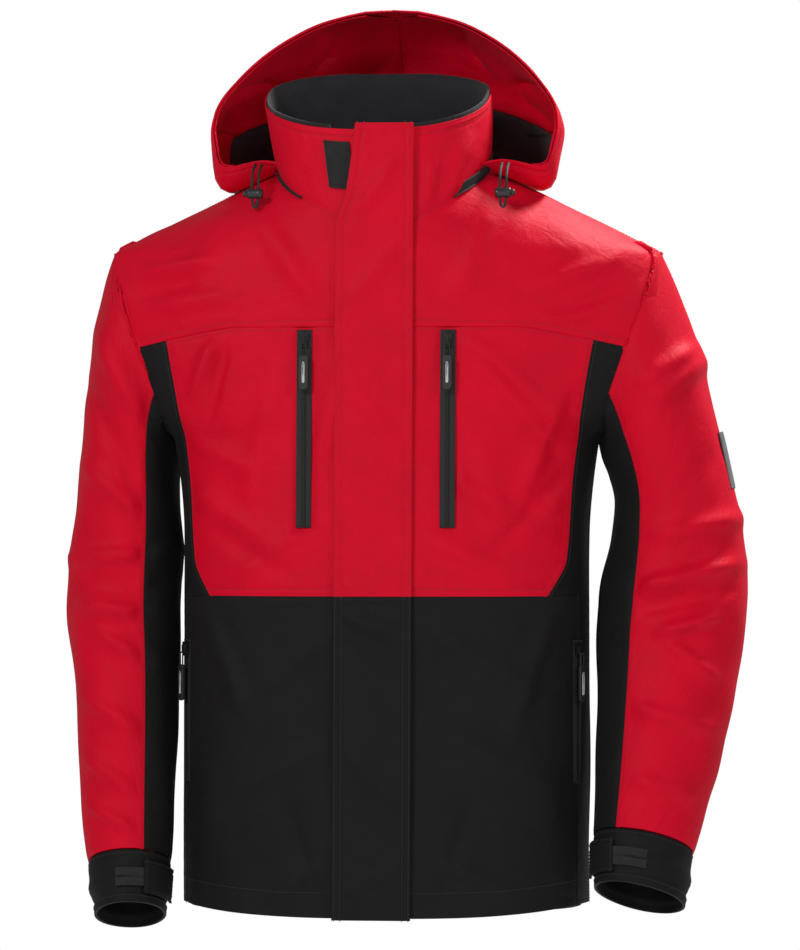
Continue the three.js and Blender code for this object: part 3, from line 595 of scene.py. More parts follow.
red_fabric = shell_fabric("red_shell", (0.78, 0.0010, 0.024), (0.60, 0.0006, 0.018), 0.03)
black_fabric = shell_fabric("black_shell", (0.0130, 0.0130, 0.0135), (0.0080, 0.0080, 0.0085), 0.02, 0.6)


# %% [markdown]
# Piles are short fibres: fine noise for the fibres and coarse noise for the clumps.

# %% Fleece, hook and loop
def pile(name, light, dark, scale, depth, sheen):
    """A surface of short fibres."""
    material, tree, surface = new_material(name)
    coordinates = node(tree, "ShaderNodeTexCoord").outputs["Object"]
    fibres = node(tree, "ShaderNodeTexNoise",
                  {"Vector": coordinates, "Scale": scale, "Detail": 6.0, "Roughness": 0.75})
    clumps = node(tree, "ShaderNodeTexNoise", {"Vector": coordinates, "Scale": scale / 9, "Detail": 2.0})
    tone = math_node(tree, "MULTIPLY_ADD", clumps.outputs["Fac"], 0.5,
                     math_node(tree, "MULTIPLY", fibres.outputs["Fac"], 0.5))
    tree.links.new(ramp(tree, tone, [(0.32, dark), (0.68, light)]), surface.inputs["Base Color"])
    bump = node(tree, "ShaderNodeBump", {"Height": fibres.outputs["Fac"], "Strength": 0.9, "Distance": depth})
    tree.links.new(bump.outputs["Normal"], surface.inputs["Normal"])
    surface.inputs["Roughness"].default_value = 0.95
    surface.inputs["Sheen Weight"].default_value = sheen
    surface.inputs["Sheen Roughness"].default_value = 0.6
    return material


fleece = pile("fleece_lining", (0.014, 0.014, 0.020), (0.006, 0.006, 0.009), 420.0, 0.002, 0.12)
loop_pile = pile("loop_pile", (0.014, 0.014, 0.015), (0.004, 0.004, 0.0045), 900.0, 0.0012, 0.15)
hook_pile = pile("hook_pile", (0.010, 0.010, 0.010), (0.003, 0.003, 0.003), 1400.0, 0.0012, 0.05)


# %% [markdown]
# The small parts share one plain recipe: a grain that shades the colour and roughens the skin.

# %% Thread, tape, cord, moulded and coated parts
def solid_finish(name, light, dark, scale, roughness, bump, metal=0.0, coat=0.0):
    material, tree, surface = new_material(name)
    coordinates = node(tree, "ShaderNodeTexCoord").outputs["Object"]
    grain = node(tree, "ShaderNodeTexNoise", {"Vector": coordinates, "Scale": scale, "Detail": 4.0})
    tree.links.new(ramp(tree, grain.outputs["Fac"], [(0.3, dark), (0.7, light)]),
                   surface.inputs["Base Color"])
    tree.links.new(math_node(tree, "MULTIPLY_ADD", grain.outputs["Fac"], 0.25, roughness - 0.12),
                   surface.inputs["Roughness"])
    relief = node(tree, "ShaderNodeBump", {"Height": grain.outputs["Fac"], "Strength": 0.4, "Distance": bump})
    tree.links.new(relief.outputs["Normal"], surface.inputs["Normal"])
    surface.inputs["Metallic"].default_value = metal
    surface.inputs["Coat Weight"].default_value = coat
    return material


red_thread = solid_finish("red_thread", (0.62, 0.006, 0.03), (0.40, 0.002, 0.014), 2500.0, 0.6, 0.0002)
black_thread = solid_finish("black_thread", (0.030, 0.030, 0.031), (0.012, 0.012, 0.012), 2500.0, 0.6, 0.0002)
tape_weave = solid_finish("zip_tape_weave", (0.018, 0.018, 0.019), (0.009, 0.009, 0.0095), 1600.0, 0.75,
                          0.0003)
coil_nylon = solid_finish("zip_coil_nylon", (0.022, 0.022, 0.023), (0.012, 0.012, 0.013), 700.0, 0.4, 0.0001)
cord_braid = solid_finish("cord_braid", (0.026, 0.026, 0.027), (0.008, 0.008, 0.008), 1300.0, 0.7, 0.0004)
rubber = solid_finish("pull_rubber_skin", (0.020, 0.020, 0.021), (0.011, 0.011, 0.012), 500.0, 0.5, 0.0002)
stripe = solid_finish("pale_stripe", (0.62, 0.63, 0.64), (0.45, 0.46, 0.47), 300.0, 0.45, 0.0001)
coated = solid_finish("coated_zinc", (0.030, 0.030, 0.032), (0.014, 0.014, 0.015), 350.0, 0.34, 0.0001,
                      0.6, 0.25)
moulded = solid_finish("moulded_plastic", (0.024, 0.024, 0.025), (0.013, 0.013, 0.014), 420.0, 0.42,
                       0.0002, 0.0, 0.1)
badge_felt = pile("badge_felt", (0.075, 0.078, 0.085), (0.035, 0.037, 0.042), 1100.0, 0.0006, 0.2)
print("materials:", len(bpy.data.materials))

# %% [markdown]
# ## The body
# Two fronts, each a red chest panel over a black lower front, with a black side panel that runs
# round to the back. A red yoke covers the shoulders. The back repeats the fronts in one piece
# across. The panels meet on shared seam lines, so the seams stay closed.

# %% Chest panels and lower fronts
ZIP_EDGE = 6
CHEST_ZIP_X, CHEST_ZIP_TOP, CHEST_ZIP_LENGTH = 75, 615, 206
HAND_ZIP_TOP, HAND_ZIP_LENGTH = 292, 150
ZIP_HALF = 7.75
CHEST_SIZE = (215, 280)  # width and height, which set how many grid lines a panel gets
LOWER_SIZE = (225, CHEST_Z)


def steady(value):
    return lambda at: np.full_like(np.asarray(at, float), value)


def between(low, high, ticks):
    return low + (high - low) * ticks


def grids_for(side, inner, outer, low, high, width, height, back=False):
    return body_grid(side, inner, outer, low, high, spread(width), spread(height), back)


def chest_zip_press(side):
    middle = side * CHEST_ZIP_X
    return (middle - 9, middle + 9, CHEST_ZIP_TOP - CHEST_ZIP_LENGTH - 2, CHEST_ZIP_TOP + 6, 2.0)


CHEST_FOLDS = {
    "right": [((-30, 600), (-62, 470), 14, 1.6), ((-168, 612), (-196, 545), 9, 3.2),
              ((-158, 600), (-178, 520), 7, -2.4), ((-200, 500), (-130, 470), 11, 2.0),
              ((-196, 450), (-110, 392), 13, 2.2), ((-180, 410), (-90, 360), 10, -1.6),
              ((-110, 560), (-135, 420), 16, 1.8), ((-60, 420), (-150, 355), 12, 1.6)],
    "left": [((90, 610), (195, 520), 14, 2.4), ((105, 590), (190, 480), 10, -1.6),
             ((60, 470), (180, 400), 14, 2.2), ((195, 560), (150, 440), 11, 2.4),
             ((50, 400), (160, 352), 12, 1.7), ((200, 470), (120, 380), 9, -1.4),
             ((110, 500), (130, 400), 15, 1.6)],
}
LOWER_FOLDS = {
    "right": [((-40, 300), (-170, 210), 14, 2.0), ((-50, 180), (-190, 120), 13, 2.0),
              ((-60, 60), (-110, 20), 8, 1.6), ((-180, 320), (-130, 200), 12, 1.8),
              ((-90, 120), (-60, 20), 9, -1.4)],
    "left": [((50, 310), (180, 230), 13, 2.0), ((60, 200), (190, 140), 14, 2.0),
             ((60, 70), (150, 25), 9, 1.6), ((180, 320), (140, 190), 12, 1.8),
             ((100, 120), (70, 25), 9, -1.4)],
}
for hand, side in SIDES.items():
    hand_zip = (side * SIDE_X - 12, side * SIDE_X + 12, HAND_ZIP_TOP - HAND_ZIP_LENGTH, HAND_ZIP_TOP, 1.0)
    chest = grids_for(side, steady(ZIP_EDGE), side_edge, steady(CHEST_Z), yoke_seam, *CHEST_SIZE)
    chest = shaped(chest, side, sewn=(0, 1, 1, 1), stitched=(0, 0, 1, 0), folds=CHEST_FOLDS[hand], loose=1.3,
                   pressed=[chest_zip_press(side)])
    cloth("chest_" + hand, [chest], red_fabric, side)
    lower = grids_for(side, steady(ZIP_EDGE), steady(SIDE_X), hem_line, steady(CHEST_Z), *LOWER_SIZE)
    lower = shaped(lower, side, sewn=(0, 1, 0, 1), folds=LOWER_FOLDS[hand], loose=1.2, pressed=[hand_zip])
    cloth("front_lower_" + hand, [lower], black_fabric, side)
print("fronts:", list(PANELS))

# %% [markdown]
# A side panel wraps from the front seam round the side to the back seam. It is made in four
# grids, front and back, below and above the chest seam, which meet at the side.

# %% Side panels, from the front edge round to the back
ARMHOLE_SEAM_Z = 598  # where the armhole crosses the yoke seam
SIDE_UPPER = 262  # the panel's length above the chest seam
for hand, side in SIDES.items():
    parts = []
    for back in (False, True):
        cols, low_rows, high_rows = spread(95), spread(CHEST_Z), spread(SIDE_UPPER)
        hem = hem_line(SIDE_X)
        low_w = w_at(np.full(low_rows.size, SIDE_X), hem + low_rows * (CHEST_Z - hem))
        z = between(hem, CHEST_Z, low_rows)[:, None]
        w = low_w[:, None] * (1 - cols) + 0.5 * cols
        parts.append((w, np.broadcast_to(z, w.shape), (1, 0, 0, 0), back))
        z = between(CHEST_Z, ARMHOLE_SEAM_Z, high_rows)[:, None] + 0 * cols
        for _ in range(4):
            start = w_at(side_edge(z), z)
            w = start * (1 - cols) + np.where(z > UNDERARM_Z, armhole_w(z), 0.5) * cols
            top = yoke_seam(np.abs(body_point(w, z, 1)[..., 0]))
            z = CHEST_Z + (top - CHEST_Z) * high_rows[:, None]
        parts.append((w, z, (1, 0, 0, 1), back))
    grids = []
    for w, z, sewn, back in parts:
        facing = -side if back else side
        grid = body_point(1 - w if back else w, z, side)
        grid = shaped(grid, facing, sewn=sewn, loose=1.2)
        grids.append(grid[:, ::-1] if back else grid)
    cloth("side_panel_" + hand, grids, black_fabric, side, tall=(CHEST_Z + SIDE_UPPER) * MM)
print("side panels:", sum(len(PANELS["side_panel_" + hand][0]) for hand in SIDES), "sheets")


# %% [markdown]
# A yoke runs from its seam up to the shoulder's ridge. Its lower side turns the corner into the
# armhole, and its upper side turns the corner from the neck on to the ridge.

# %% Yokes over the shoulders
def yoke_grid(side, back, inset=0.0):
    """From the yoke seam and the armhole up to the neck and the shoulder's ridge."""
    s = spread(330, 4.2)
    seam = np.minimum(s / 0.62, 1)
    rise = np.clip((s - 0.62) / 0.38, 0, 1)
    first = 0 if back else ZIP_EDGE
    low_x = first + (256 - first) * seam
    top = SHOULDER_Z - ARMHOLE_SEAM_Z
    low_z = np.where(s < 0.62, yoke_seam(low_x), ARMHOLE_SEAM_Z + top * (1 - (1 - rise) ** 2))
    low_w = np.where(s < 0.62, w_at(low_x, low_z), armhole_w(low_z))
    neck_share = np.minimum(s / 0.38, 1)
    start = np.arccos((first / COLLAR_HALF) ** 1.2)
    angle = start * (1 - neck_share)
    angle = angle if back else -angle
    neck_z = neck_height(angle)
    neck_x, _ = collar_outline(angle, 0 * angle)
    along = np.clip((s - 0.38) / 0.62, 0, 1)
    ridge_z = between(neck_height(np.zeros(1))[0], SHOULDER_Z, along)
    high_w = np.where(s < 0.38, w_at(neck_x, neck_z), 0.5)
    high_z = np.where(s < 0.38, neck_z, ridge_z)
    t = (1 - (1 - spread(150, 3.6)) ** 1.5)[:, None]
    w = low_w * (1 - t) + high_w * t
    z = low_z * (1 - t) + high_z * t
    return body_point(1 - w if back else w, z, side, inset)


YOKE_FOLDS = {
    "right": [((-250, 676), (-170, 690), 8, 3.0), ((-262, 652), (-190, 668), 7, -2.4),
              ((-240, 640), (-150, 652), 10, 2.4), ((-130, 740), (-60, 640), 14, 2.0)],
    "left": [((250, 690), (165, 660), 11, 2.6), ((255, 660), (190, 630), 9, -1.8),
             ((120, 740), (80, 640), 14, 2.0), ((235, 640), (170, 622), 9, 2.0)],
}
for hand, side in SIDES.items():
    yoke = shaped(yoke_grid(side, False), side, sewn=(0, 0, 1, 1), stitched=(0, 0, 1, 0),
                  folds=YOKE_FOLDS[hand],
                  loose=1.1, turn=1.0, pucker=0.3)
    cloth("yoke_" + hand, [yoke], red_fabric, side)

# %% [markdown]
# The back's pieces are made as mirrored halves that meet down the middle.

# %% The back, in one piece across at each level
BACK_FOLDS = [((-150, 520), (-40, 430), 15, 2.4), ((160, 500), (50, 420), 15, 2.2),
              ((-20, 600), (10, 450), 18, 1.6), ((-190, 200), (-70, 120), 15, 2.2),
              ((180, 220), (80, 110), 15, 2.2), ((-120, 330), (60, 300), 14, 1.8)]


def back_piece(name, look, make, sewn, stitched=(0, 0, 0, 0)):
    halves = []
    for side in (-1, 1):
        grid = shaped(make(side), -side, sewn=sewn, stitched=stitched, folds=BACK_FOLDS, loose=1.3,
                      turn=1.0, pucker=0.4)
        halves.append(grid if side < 0 else grid[:, ::-1])
    cloth(name, halves, look, 1)


back_piece("back_yoke", red_fabric, lambda side: yoke_grid(side, True), (0, 0, 1, 1), (0, 0, 1, 0))
back_piece("back_upper", red_fabric,
           lambda side: grids_for(side, steady(0), side_edge, steady(CHEST_Z), yoke_seam, *CHEST_SIZE,
                                  back=True),
           (0, 1, 1, 1), (0, 0, 1, 0))
back_piece("back_lower", black_fabric,
           lambda side: grids_for(side, steady(0), steady(SIDE_X), hem_line, steady(CHEST_Z), *LOWER_SIZE,
                                  back=True),
           (0, 1, 0, 1))
print("panels so far:", len(PANELS))

# %% [markdown]
# ## Sleeves and cuffs
# A sleeve is a tube through rings that follow a hanging arm. Its first ring is the armhole
# itself, so the sleeve meets the body's panels on one line. The rings give the outer edge, the
# inner edge and the depth; the red panel covers the outer two thirds and the black one the rest.

# %% Sleeve rings
# outer edge [out, drop], inner edge [out, drop], middle's depth, half depth
SLEEVE_ROWS = {
    "left": [((77, 0), (9, 197), 0, 84), ((97, 42), (12, 206), 0, 84), ((115, 93), (15, 217), 0, 83),
             ((129, 147), (22, 235), 0, 80), ((147, 222), (27, 262), 0, 77),
             ((159, 282), (23, 300), -2, 75), ((168, 362), (12, 362), -8, 76),
             ((164, 412), (9, 407), -14, 74), ((157, 462), (9, 457), -28, 71),
             ((137, 542), (10, 527), -46, 62), ((117, 609), (9, 592), -62, 54)],
    "right": [((79, 3), (9, 197), 0, 84), ((92, 43), (11, 206), 0, 84), ((101, 89), (12, 217), 0, 82),
              ((107, 139), (12, 235), 0, 79), ((113, 197), (10, 262), 0, 76),
              ((119, 259), (8, 297), -2, 74), ((129, 364), (7, 364), -10, 72),
              ((120, 429), (7, 427), -18, 68), ((112, 506), (7, 502), -36, 62),
              ((106, 583), (8, 577), -54, 55), ((99, 625), (9, 620), -64, 51)],
}
CUFF_TIP = 0.36
CUFF_LENGTH = 78
OVERHANG = 17  # the finished sleeve blouses this far over the cuff
sleeve_curves = {}
for hand, rows in SLEEVE_ROWS.items():
    table = np.array([[*outer, *inner, y, half] for outer, inner, y, half in rows], float)
    sleeve_curves[hand] = [curve_through(np.arange(len(rows)), table[:, k]) for k in range(6)]


def sleeve_ring(hand, row, angle, drop=0.0, outset=0.0):
    """Angle 0 is the outer edge and a quarter turn the back. row counts down from the
    armhole, and drop is measured below the last row."""
    side = SIDES[hand]
    out_x, out_z, in_x, in_z, depth_y, half_depth = (curve(row) for curve in sleeve_curves[hand])
    last = len(SLEEVE_ROWS[hand])
    tip = np.clip((row - last + 5) / 4, 0, 1) * math.atan(CUFF_TIP)
    outer = np.stack(np.broadcast_arrays(BODY_HALF + out_x - drop * 0.15, SHOULDER_Z - out_z - drop), -1)
    inner = np.stack(np.broadcast_arrays(BODY_HALF + in_x + drop * 0.02, SHOULDER_Z - in_z - drop), -1)
    middle, across = (outer + inner) / 2, (outer - inner) / 2
    width = np.linalg.norm(across, axis=-1, keepdims=True)
    across = across * (width + outset) / width
    c, s = np.cos(angle), np.sin(angle)
    depth = half_depth + outset
    x = middle[..., 0] + across[..., 0] * c
    z = middle[..., 1] + across[..., 1] * c - np.sin(tip) * depth * s
    y = depth_y - drop * CUFF_TIP + np.cos(tip) * depth * s
    return np.stack((side * x, y, z), -1)


def armhole_ring(hand, angle):
    """The armhole seam on the body, at the same angles."""
    side = SIDES[hand]
    share = (1 - np.cos(angle)) / 2
    z = SHOULDER_Z + (UNDERARM_Z - SHOULDER_Z) * share
    w = armhole_w(z)
    front = body_point(np.minimum(w, 0.5), z, side)
    back = body_point(np.maximum(1 - w, 0.5), z, side)
    return np.where((np.sin(angle) > 0)[..., None], back, front)


RED_HALF_TURN = math.radians(120)
SLEEVE_FOLDS = {
    "right": [((-335, 375), (-225, 385), 9, 3.4), ((-330, 350), (-228, 350), 8, -3.0),
              ((-322, 330), (-240, 318), 10, 3.0), ((-300, 300), (-232, 262), 9, 2.6),
              ((-318, 235), (-240, 190), 10, 2.4), ((-250, 130), (-312, 170), 9, 2.4),
              ((-300, 620), (-252, 520), 14, 3.0), ((-312, 560), (-255, 450), 12, -2.4),
              ((-318, 480), (-250, 420), 11, 2.6), ((-308, 120), (-250, 92), 8, 2.4)],
    "left": [((372, 372), (262, 345), 10, 4.2), ((366, 345), (262, 322), 8, -3.4),
             ((352, 318), (290, 300), 9, 4.0), ((378, 420), (285, 400), 12, 2.6),
             ((300, 292), (352, 250), 9, 3.0), ((350, 200), (262, 225), 10, 2.8),
             ((268, 150), (330, 130), 10, 2.4), ((340, 590), (285, 540), 12, 2.6),
             ((330, 600), (272, 560), 11, 2.6), ((358, 500), (300, 420), 12, -0.5)],
}


def sleeve_grid(hand, start, end, cols):
    angle = start + (end - start) * spread(cols, 4.0)
    rows = (len(SLEEVE_ROWS[hand]) - 1) * spread(640, 3.8)
    a, r = np.meshgrid(angle, rows)
    grid = sleeve_ring(hand, r, a, OVERHANG * smoothstep(rows[-1] - 1.2, rows[-1], r))
    seam = armhole_ring(hand, a)
    return seam + (grid - seam) * smoothstep(0, 1.6, r)[..., None] ** 0.8


for hand, side in SIDES.items():
    red = sleeve_grid(hand, -RED_HALF_TURN, RED_HALF_TURN, 300)
    red = shaped(red, -side, sewn=(1, 1, 1, 1), folds=SLEEVE_FOLDS[hand], loose=1.4, stretch=(1, 1, 1),
                 turn=1.0, pucker=0.3)
    cloth("sleeve_outer_" + hand, [red], red_fabric, -side, rests_on=("back_yoke",), held="hung")
    black = sleeve_grid(hand, RED_HALF_TURN, 2 * math.pi - RED_HALF_TURN, 150)
    black = shaped(black, -side, sewn=(1, 1, 1, 1), folds=SLEEVE_FOLDS[hand], loose=1.4, stretch=(1, 1, 1),
                   turn=1.0, pucker=0.3)
    cloth("sleeve_inner_" + hand, [black], black_fabric, -side, rests_on=("back_yoke",), held="hung")
print("sleeves:", [name for name in PANELS if "sleeve" in name])

# %% [markdown]
# A cuff is a short tube that tips forward with the hand. A strip of loop pile runs over its front,
# and a tab sewn to its inner side closes over the strip.

# %% Cuffs, loop strips and tabs
STEP = 2 * math.pi / 18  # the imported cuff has 18 sides, and its strips begin and end on them


def cuff_grid(hand, low, high, start, end, cols, outset, step=3.2):
    drop = low + (high - low) * spread(high - low, step)
    angle = start + (end - start) * cols
    a, d = np.meshgrid(angle, drop)
    last = np.full_like(a, len(SLEEVE_ROWS[hand]) - 1.0)
    return sleeve_ring(hand, last, a, d, outset)


for hand, side in SIDES.items():
    around = np.linspace(0, 1, 131)
    cuff = cuff_grid(hand, OVERHANG + 0.5, CUFF_LENGTH - 7, 0, 2 * math.pi, around, -0.6)
    u, v = lengths(cuff)
    press = 2.2 * np.exp(-((v - 30) / 7) ** 2) - 1.2 * np.exp(-((v - 45) / 3) ** 2)
    press = press * (1 + 0.3 * np.sin(u / 19))
    wave = slack(cuff, (1, 1, 1.4)) * 1.3 * smoothstep(0, 10, v)
    cuff = pushed(cuff, -side, press + wave - 1.2 * np.exp(-(v / 2.4) ** 2))
    cuff[:, -1] = cuff[:, 0]
    cloth("cuff_" + hand, [cuff], black_fabric, -side, thick=3.0, wrap=True,
          rests_on=("sleeve_outer_" + hand,))
    strip = cuff_grid(hand, 37, 55, 8 * STEP, 14 * STEP, spread(105, 3), 0.9)
    strip = pushed(strip, -side, 1.6 + 0.5 * slack(strip))
    cloth("cuff_loop_strip_" + hand, [strip], loop_pile, -side, thick=1.4, rests_on=("cuff_" + hand,))
    tab = cuff_grid(hand, 29, 62, 9 * STEP, 12 * STEP, spread(56, 2.5), 4.2)
    u, v = lengths(tab)
    lift = 0.6 * slack(tab) - 0.9 * np.exp(-((np.minimum(v, v[-1:] - v) - 3) / 1.2) ** 2)
    tab = pushed(tab, -side, lift)
    cloth("cuff_tab_" + hand, [tab], black_fabric, -side, body="cuff_tab_" + hand, rests_on=("cuff_" + hand,))
print("cuffs done")

# %% [markdown]
# ## Collar
# The collar stands all the way round the neck: a red outside, a fleece lining whose fuzzy upper
# edge folds over the rim, and a patch of loop pile beside the storm flap that holds a chin tab.

# %% Collar, lining and loop patch
def collar_point(angle, level, offset=0.0):
    x, y = collar_outline(angle, level)
    share = np.clip((y - front_at(COLLAR_FRONT_Z)) / (COLLAR_BACK - front_at(COLLAR_FRONT_Z)), 0, 1)
    low = COLLAR_FRONT_Z + 67 * (1 - (1 - share) ** 2.2)
    high = COLLAR_FRONT_Z + COLLAR_RISE + 58 * share - 8 * (1 - share) ** 3
    x = x - 9 * level  # it leans a little to the wearer's right
    away = np.stack((x, y - SIDE_Y), -1)
    away = away / np.linalg.norm(away, axis=-1, keepdims=True) * np.asarray(offset)[..., None]
    return np.stack((x + away[..., 0], y + away[..., 1], low + (high - low) * level), -1)


def level_at(z):
    return (z - COLLAR_FRONT_Z) / COLLAR_RISE


def collar_grid(level_low, level_high, opening, offset=0.0, start=None, end=None, step=3.4, tucked=0.0):
    """Round the back from the wearer's left edge of the opening to the right one.
    tucked carries the back's lower edge down inside the yoke."""
    first = -math.pi / 2 + opening if start is None else start
    last = 3 * math.pi / 2 - opening if end is None else end
    angle = first + (last - first) * spread(abs(last - first) * 118, step)
    a, share = np.meshgrid(angle, spread(110 * (level_high - level_low), step))
    first_level = level_low - tucked * smoothstep(-0.5, 0.3, np.sin(a))
    level = first_level + (level_high - first_level) * share
    return collar_point(a, level, np.full_like(a, offset))


COLLAR_FOLDS = [((-104, 800), (-78, 742), 9, 1.0), ((-60, 830), (-88, 752), 10, -0.4),
                ((96, 820), (70, 745), 10, 2.0), ((110, 790), (84, 740), 8, -0.4),
                ((60, 800), (52, 740), 8, 1.5)]
collar = collar_grid(0, 0.995, 0.075, tucked=0.26)
collar = shaped(collar, 1, sewn=(0, 0, 1, 1), stitched=(0, 0, 0, 1), folds=COLLAR_FOLDS, loose=1.2)
cloth("collar_outer", [collar], red_fabric, 1, thick=2.2, rests_on=("yoke_left", "yoke_right", "back_yoke"))
lining = collar_grid(0.02, 1.0, 0.30, -5.2, tucked=0.26)
u, v = lengths(lining)
over = smoothstep(12, 0, v[-1:] - v)
lining = pushed(lining, 1, slack(lining) * 0.8 + over * 2.6)
lining[..., 2] += over * 3.2
cloth("collar_lining", [lining], fleece, 1, thick=2.6, rests_on=("collar_outer",))
patch = collar_grid(level_at(762), level_at(815), 0, 1.6, start=-math.pi / 2 - 0.34,
                    end=-math.pi / 2 - 0.12, step=2)
patch = pushed(patch, 1, 0.3 * slack(patch))
cloth("collar_loop_patch", [patch], loop_pile, 1, thick=1.6, rests_on=("collar_outer",))
band = collar_grid(0.03, 0.25, 0.72, 2.0)
band = pushed(band, 1, 0.8 * slack(band))
cloth("hood_neck_band", [band], tape_weave, 1, thick=1.8, rests_on=("collar_outer",))
print("collar:", collar.shape, "lining:", lining.shape)

# %% [markdown]
# ## Hood
# The hood hangs open behind the collar. Its rim is a plane that leans back; everything behind
# that plane is fabric. A wide red facing turns in from the rim and the dark lining begins where
# it ends. The grid runs from the rim on the wearer's left, round the back, to the rim on the right.

# %% Hood shell, facing and lining
HOOD_Z = 788
HOOD_ROWS = np.array([
    (0, 118, 57.5, -92, 2.5), (6, 138, 80, -98, 2.5), (13, 166, 112, -110, 2.4), (22, 183, 136, -115, 2.3),
    (36, 188, 148, -114, 2.1), (54, 184, 155, -110, 2.0), (72, 175, 158, -104, 2.0), (90, 161, 158, -96, 2.0),
    (106, 146, 152, -88, 2.0), (122, 127, 144, -74, 2.0), (138, 102, 131, -58, 2.0), (150, 77, 115, -40, 2.0),
    (158, 50, 98, -28, 2.0), (163, 26, 80, -20, 2.0)])
HOOD_TALL = 163
hood_half, hood_back, hood_front, hood_square = (curve_through(HOOD_ROWS[:, 0], HOOD_ROWS[:, k])
                                                 for k in (1, 2, 3, 4))
RIM_LOW_Y, RIM_HIGH_Y = -62, 40
HOOD_STRETCH = 1.045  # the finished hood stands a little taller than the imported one
HOOD_SAG = 40


def rim_y(rise):
    return RIM_LOW_Y + (RIM_HIGH_Y - RIM_LOW_Y) * rise / HOOD_TALL


def widest_at(rise):
    """The hood is widest beside the ears low down, and at its rim higher up."""
    return np.maximum(SIDE_Y, rim_y(rise))


def hood_point(angle, rise, inset=0.0):
    half, back, front = hood_half(rise) - inset, hood_back(rise) - inset, hood_front(rise) + inset
    power = 2 / hood_square(rise)
    c, s = np.cos(angle), np.sin(angle)
    widest = widest_at(rise)
    depth = np.where(s < 0, widest - front, back - widest)
    x = np.sign(c) * np.abs(c) ** power * half
    y = widest + np.sign(s) * np.abs(s) ** power * depth
    behind_rim = smoothstep(-0.5, -0.1, s) * (1 - smoothstep(0.35, 0.9, s))
    sag = HOOD_SAG * np.exp(-(((rise - 15) / 12) ** 2)) * behind_rim
    z = HOOD_Z + rise * HOOD_STRETCH * (1 - inset / HOOD_TALL) - sag + inset * (sag > 1)
    return np.stack(np.broadcast_arrays(x, y, z), -1)


def angle_at(y, rise):
    """The wearer's left angle at which the hood's outline passes depth y."""
    widest = widest_at(rise)
    depth = np.where(y < widest, widest - hood_front(rise), hood_back(rise) - widest)
    share = np.clip((y - widest) / depth, -1, 1)
    return np.arcsin(np.sign(share) * np.abs(share) ** (hood_square(rise) / 2))


def hood_grid(from_rim, to_rim, low, high, inset=0.0, across=620, up=250, step=4.2):
    """Between two lines behind the rim's plane, each a distance that may grow with height; to_rim None goes
    round the back to the right-hand rim."""
    rise = low + (high - low) * (1 - (1 - spread(up, step)) ** 1.25)
    c, r = np.meshgrid(spread(across, step), rise)
    first = angle_at(rim_y(r) + from_rim(r), r)
    last = math.pi - first if to_rim is None else angle_at(rim_y(r) + to_rim(r), r)
    return hood_point(first + (last - first) * c, r, inset)


def facing_width(rise):
    """Narrow beside the neck and widest over the crown."""
    return 84 + 62 * smoothstep(25, 75, rise) + 50 * smoothstep(60, 110, rise)


HOOD_FOLDS = [((-150, 880), (-60, 930), 10, 3.4), ((150, 880), (70, 935), 10, 3.4),
              ((-170, 850), (-120, 905), 9, -2.4), ((172, 850), (120, 900), 9, -2.4),
              ((-30, 950), (20, 880), 14, 3.0), ((60, 948), (90, 880), 12, -2.0),
              ((-175, 820), (-90, 850), 11, 2.6), ((178, 822), (100, 850), 11, 2.6)]
shell = hood_grid(steady(0), None, 0, HOOD_TALL - 0.5)
shell = shaped(shell, 1, sewn=(1, 1, 1, 0), stitched=(1, 1, 0, 0), folds=HOOD_FOLDS, loose=2.0,
               stretch=(1, 1, 1), turn=1.0)
crown = np.array([[[0.0, 46.0, HOOD_Z + HOOD_TALL * HOOD_STRETCH + 1.0]]])
top = shell[-1:]
shell = np.concatenate((shell, top + (crown - top) * 0.5, top + (crown - top) * 0.98))
cloth("hood_shell", [shell], red_fabric, 1, thick=2.2, body="hood", rests_on=("hood_neck_band",), held="hung")

facings = []
for mirror in (1, -1):
    part = hood_grid(steady(0.5), facing_width, 14, HOOD_TALL - 1, 3.6, across=200, up=250, step=3.4)
    part = shaped(part, 1, sewn=(1, 1, 1, 1), stitched=(1, 1, 0, 0), loose=2.2, stretch=(1, 1, 1.6),
                  turn=-1.2,
                  folds=[((x0, z0), (x1, z1), w, -h) for (x0, z0), (x1, z1), w, h in HOOD_FOLDS])
    if mirror < 0:
        part = part[:, ::-1] * np.array((-1, 1, 1))
    facings.append(part)
cloth("hood_facing", facings, red_fabric, 1, thick=1.4, body="hood", rests_on=("hood_shell",))
hood_lining = hood_grid(facing_width, None, 14, HOOD_TALL - 3, 4.2, across=420)
hood_lining = shaped(hood_lining, 1, sewn=(1, 1, 1, 0), loose=2.2, stretch=(1, 1, 1.4), turn=-0.6)
cloth("hood_lining", [hood_lining], fleece, 1, thick=1.4, body="hood", rests_on=("hood_shell",))
print("hood:", shell.shape, hood_lining.shape)

# %% [markdown]
# ## Storm flap
# The flap covers the main zip from hem to chin. It is one long strip in the body's two colours,
# with a seam where they meet, sewn down along the wearer's left and held by a hook strip inside
# its free edge. Above the neck the free edge slants inwards and the top springs off the collar.

# %% The flap and its hook strip
LEAN = math.atan(FRONT_LEAN)
FLAP_SEWN_X, FLAP_FACE = 39, -4.6
FRONT_TOP = (COLLAR_FRONT_Z + COLLAR_RISE) / math.cos(LEAN)
free_edge = curve_through((-5, 720, 763, 831), (-43, -43, -31, -22))


def from_front(points):
    """From the leaning centre front (x across, -y out, z up along it) to the hem's frame."""
    x, y, z = points[..., 0], points[..., 1], points[..., 2]
    return np.stack((x, FRONT_AT_HEM + y * math.cos(LEAN) + z * math.sin(LEAN),
                     z * math.cos(LEAN) - y * math.sin(LEAN)), -1)


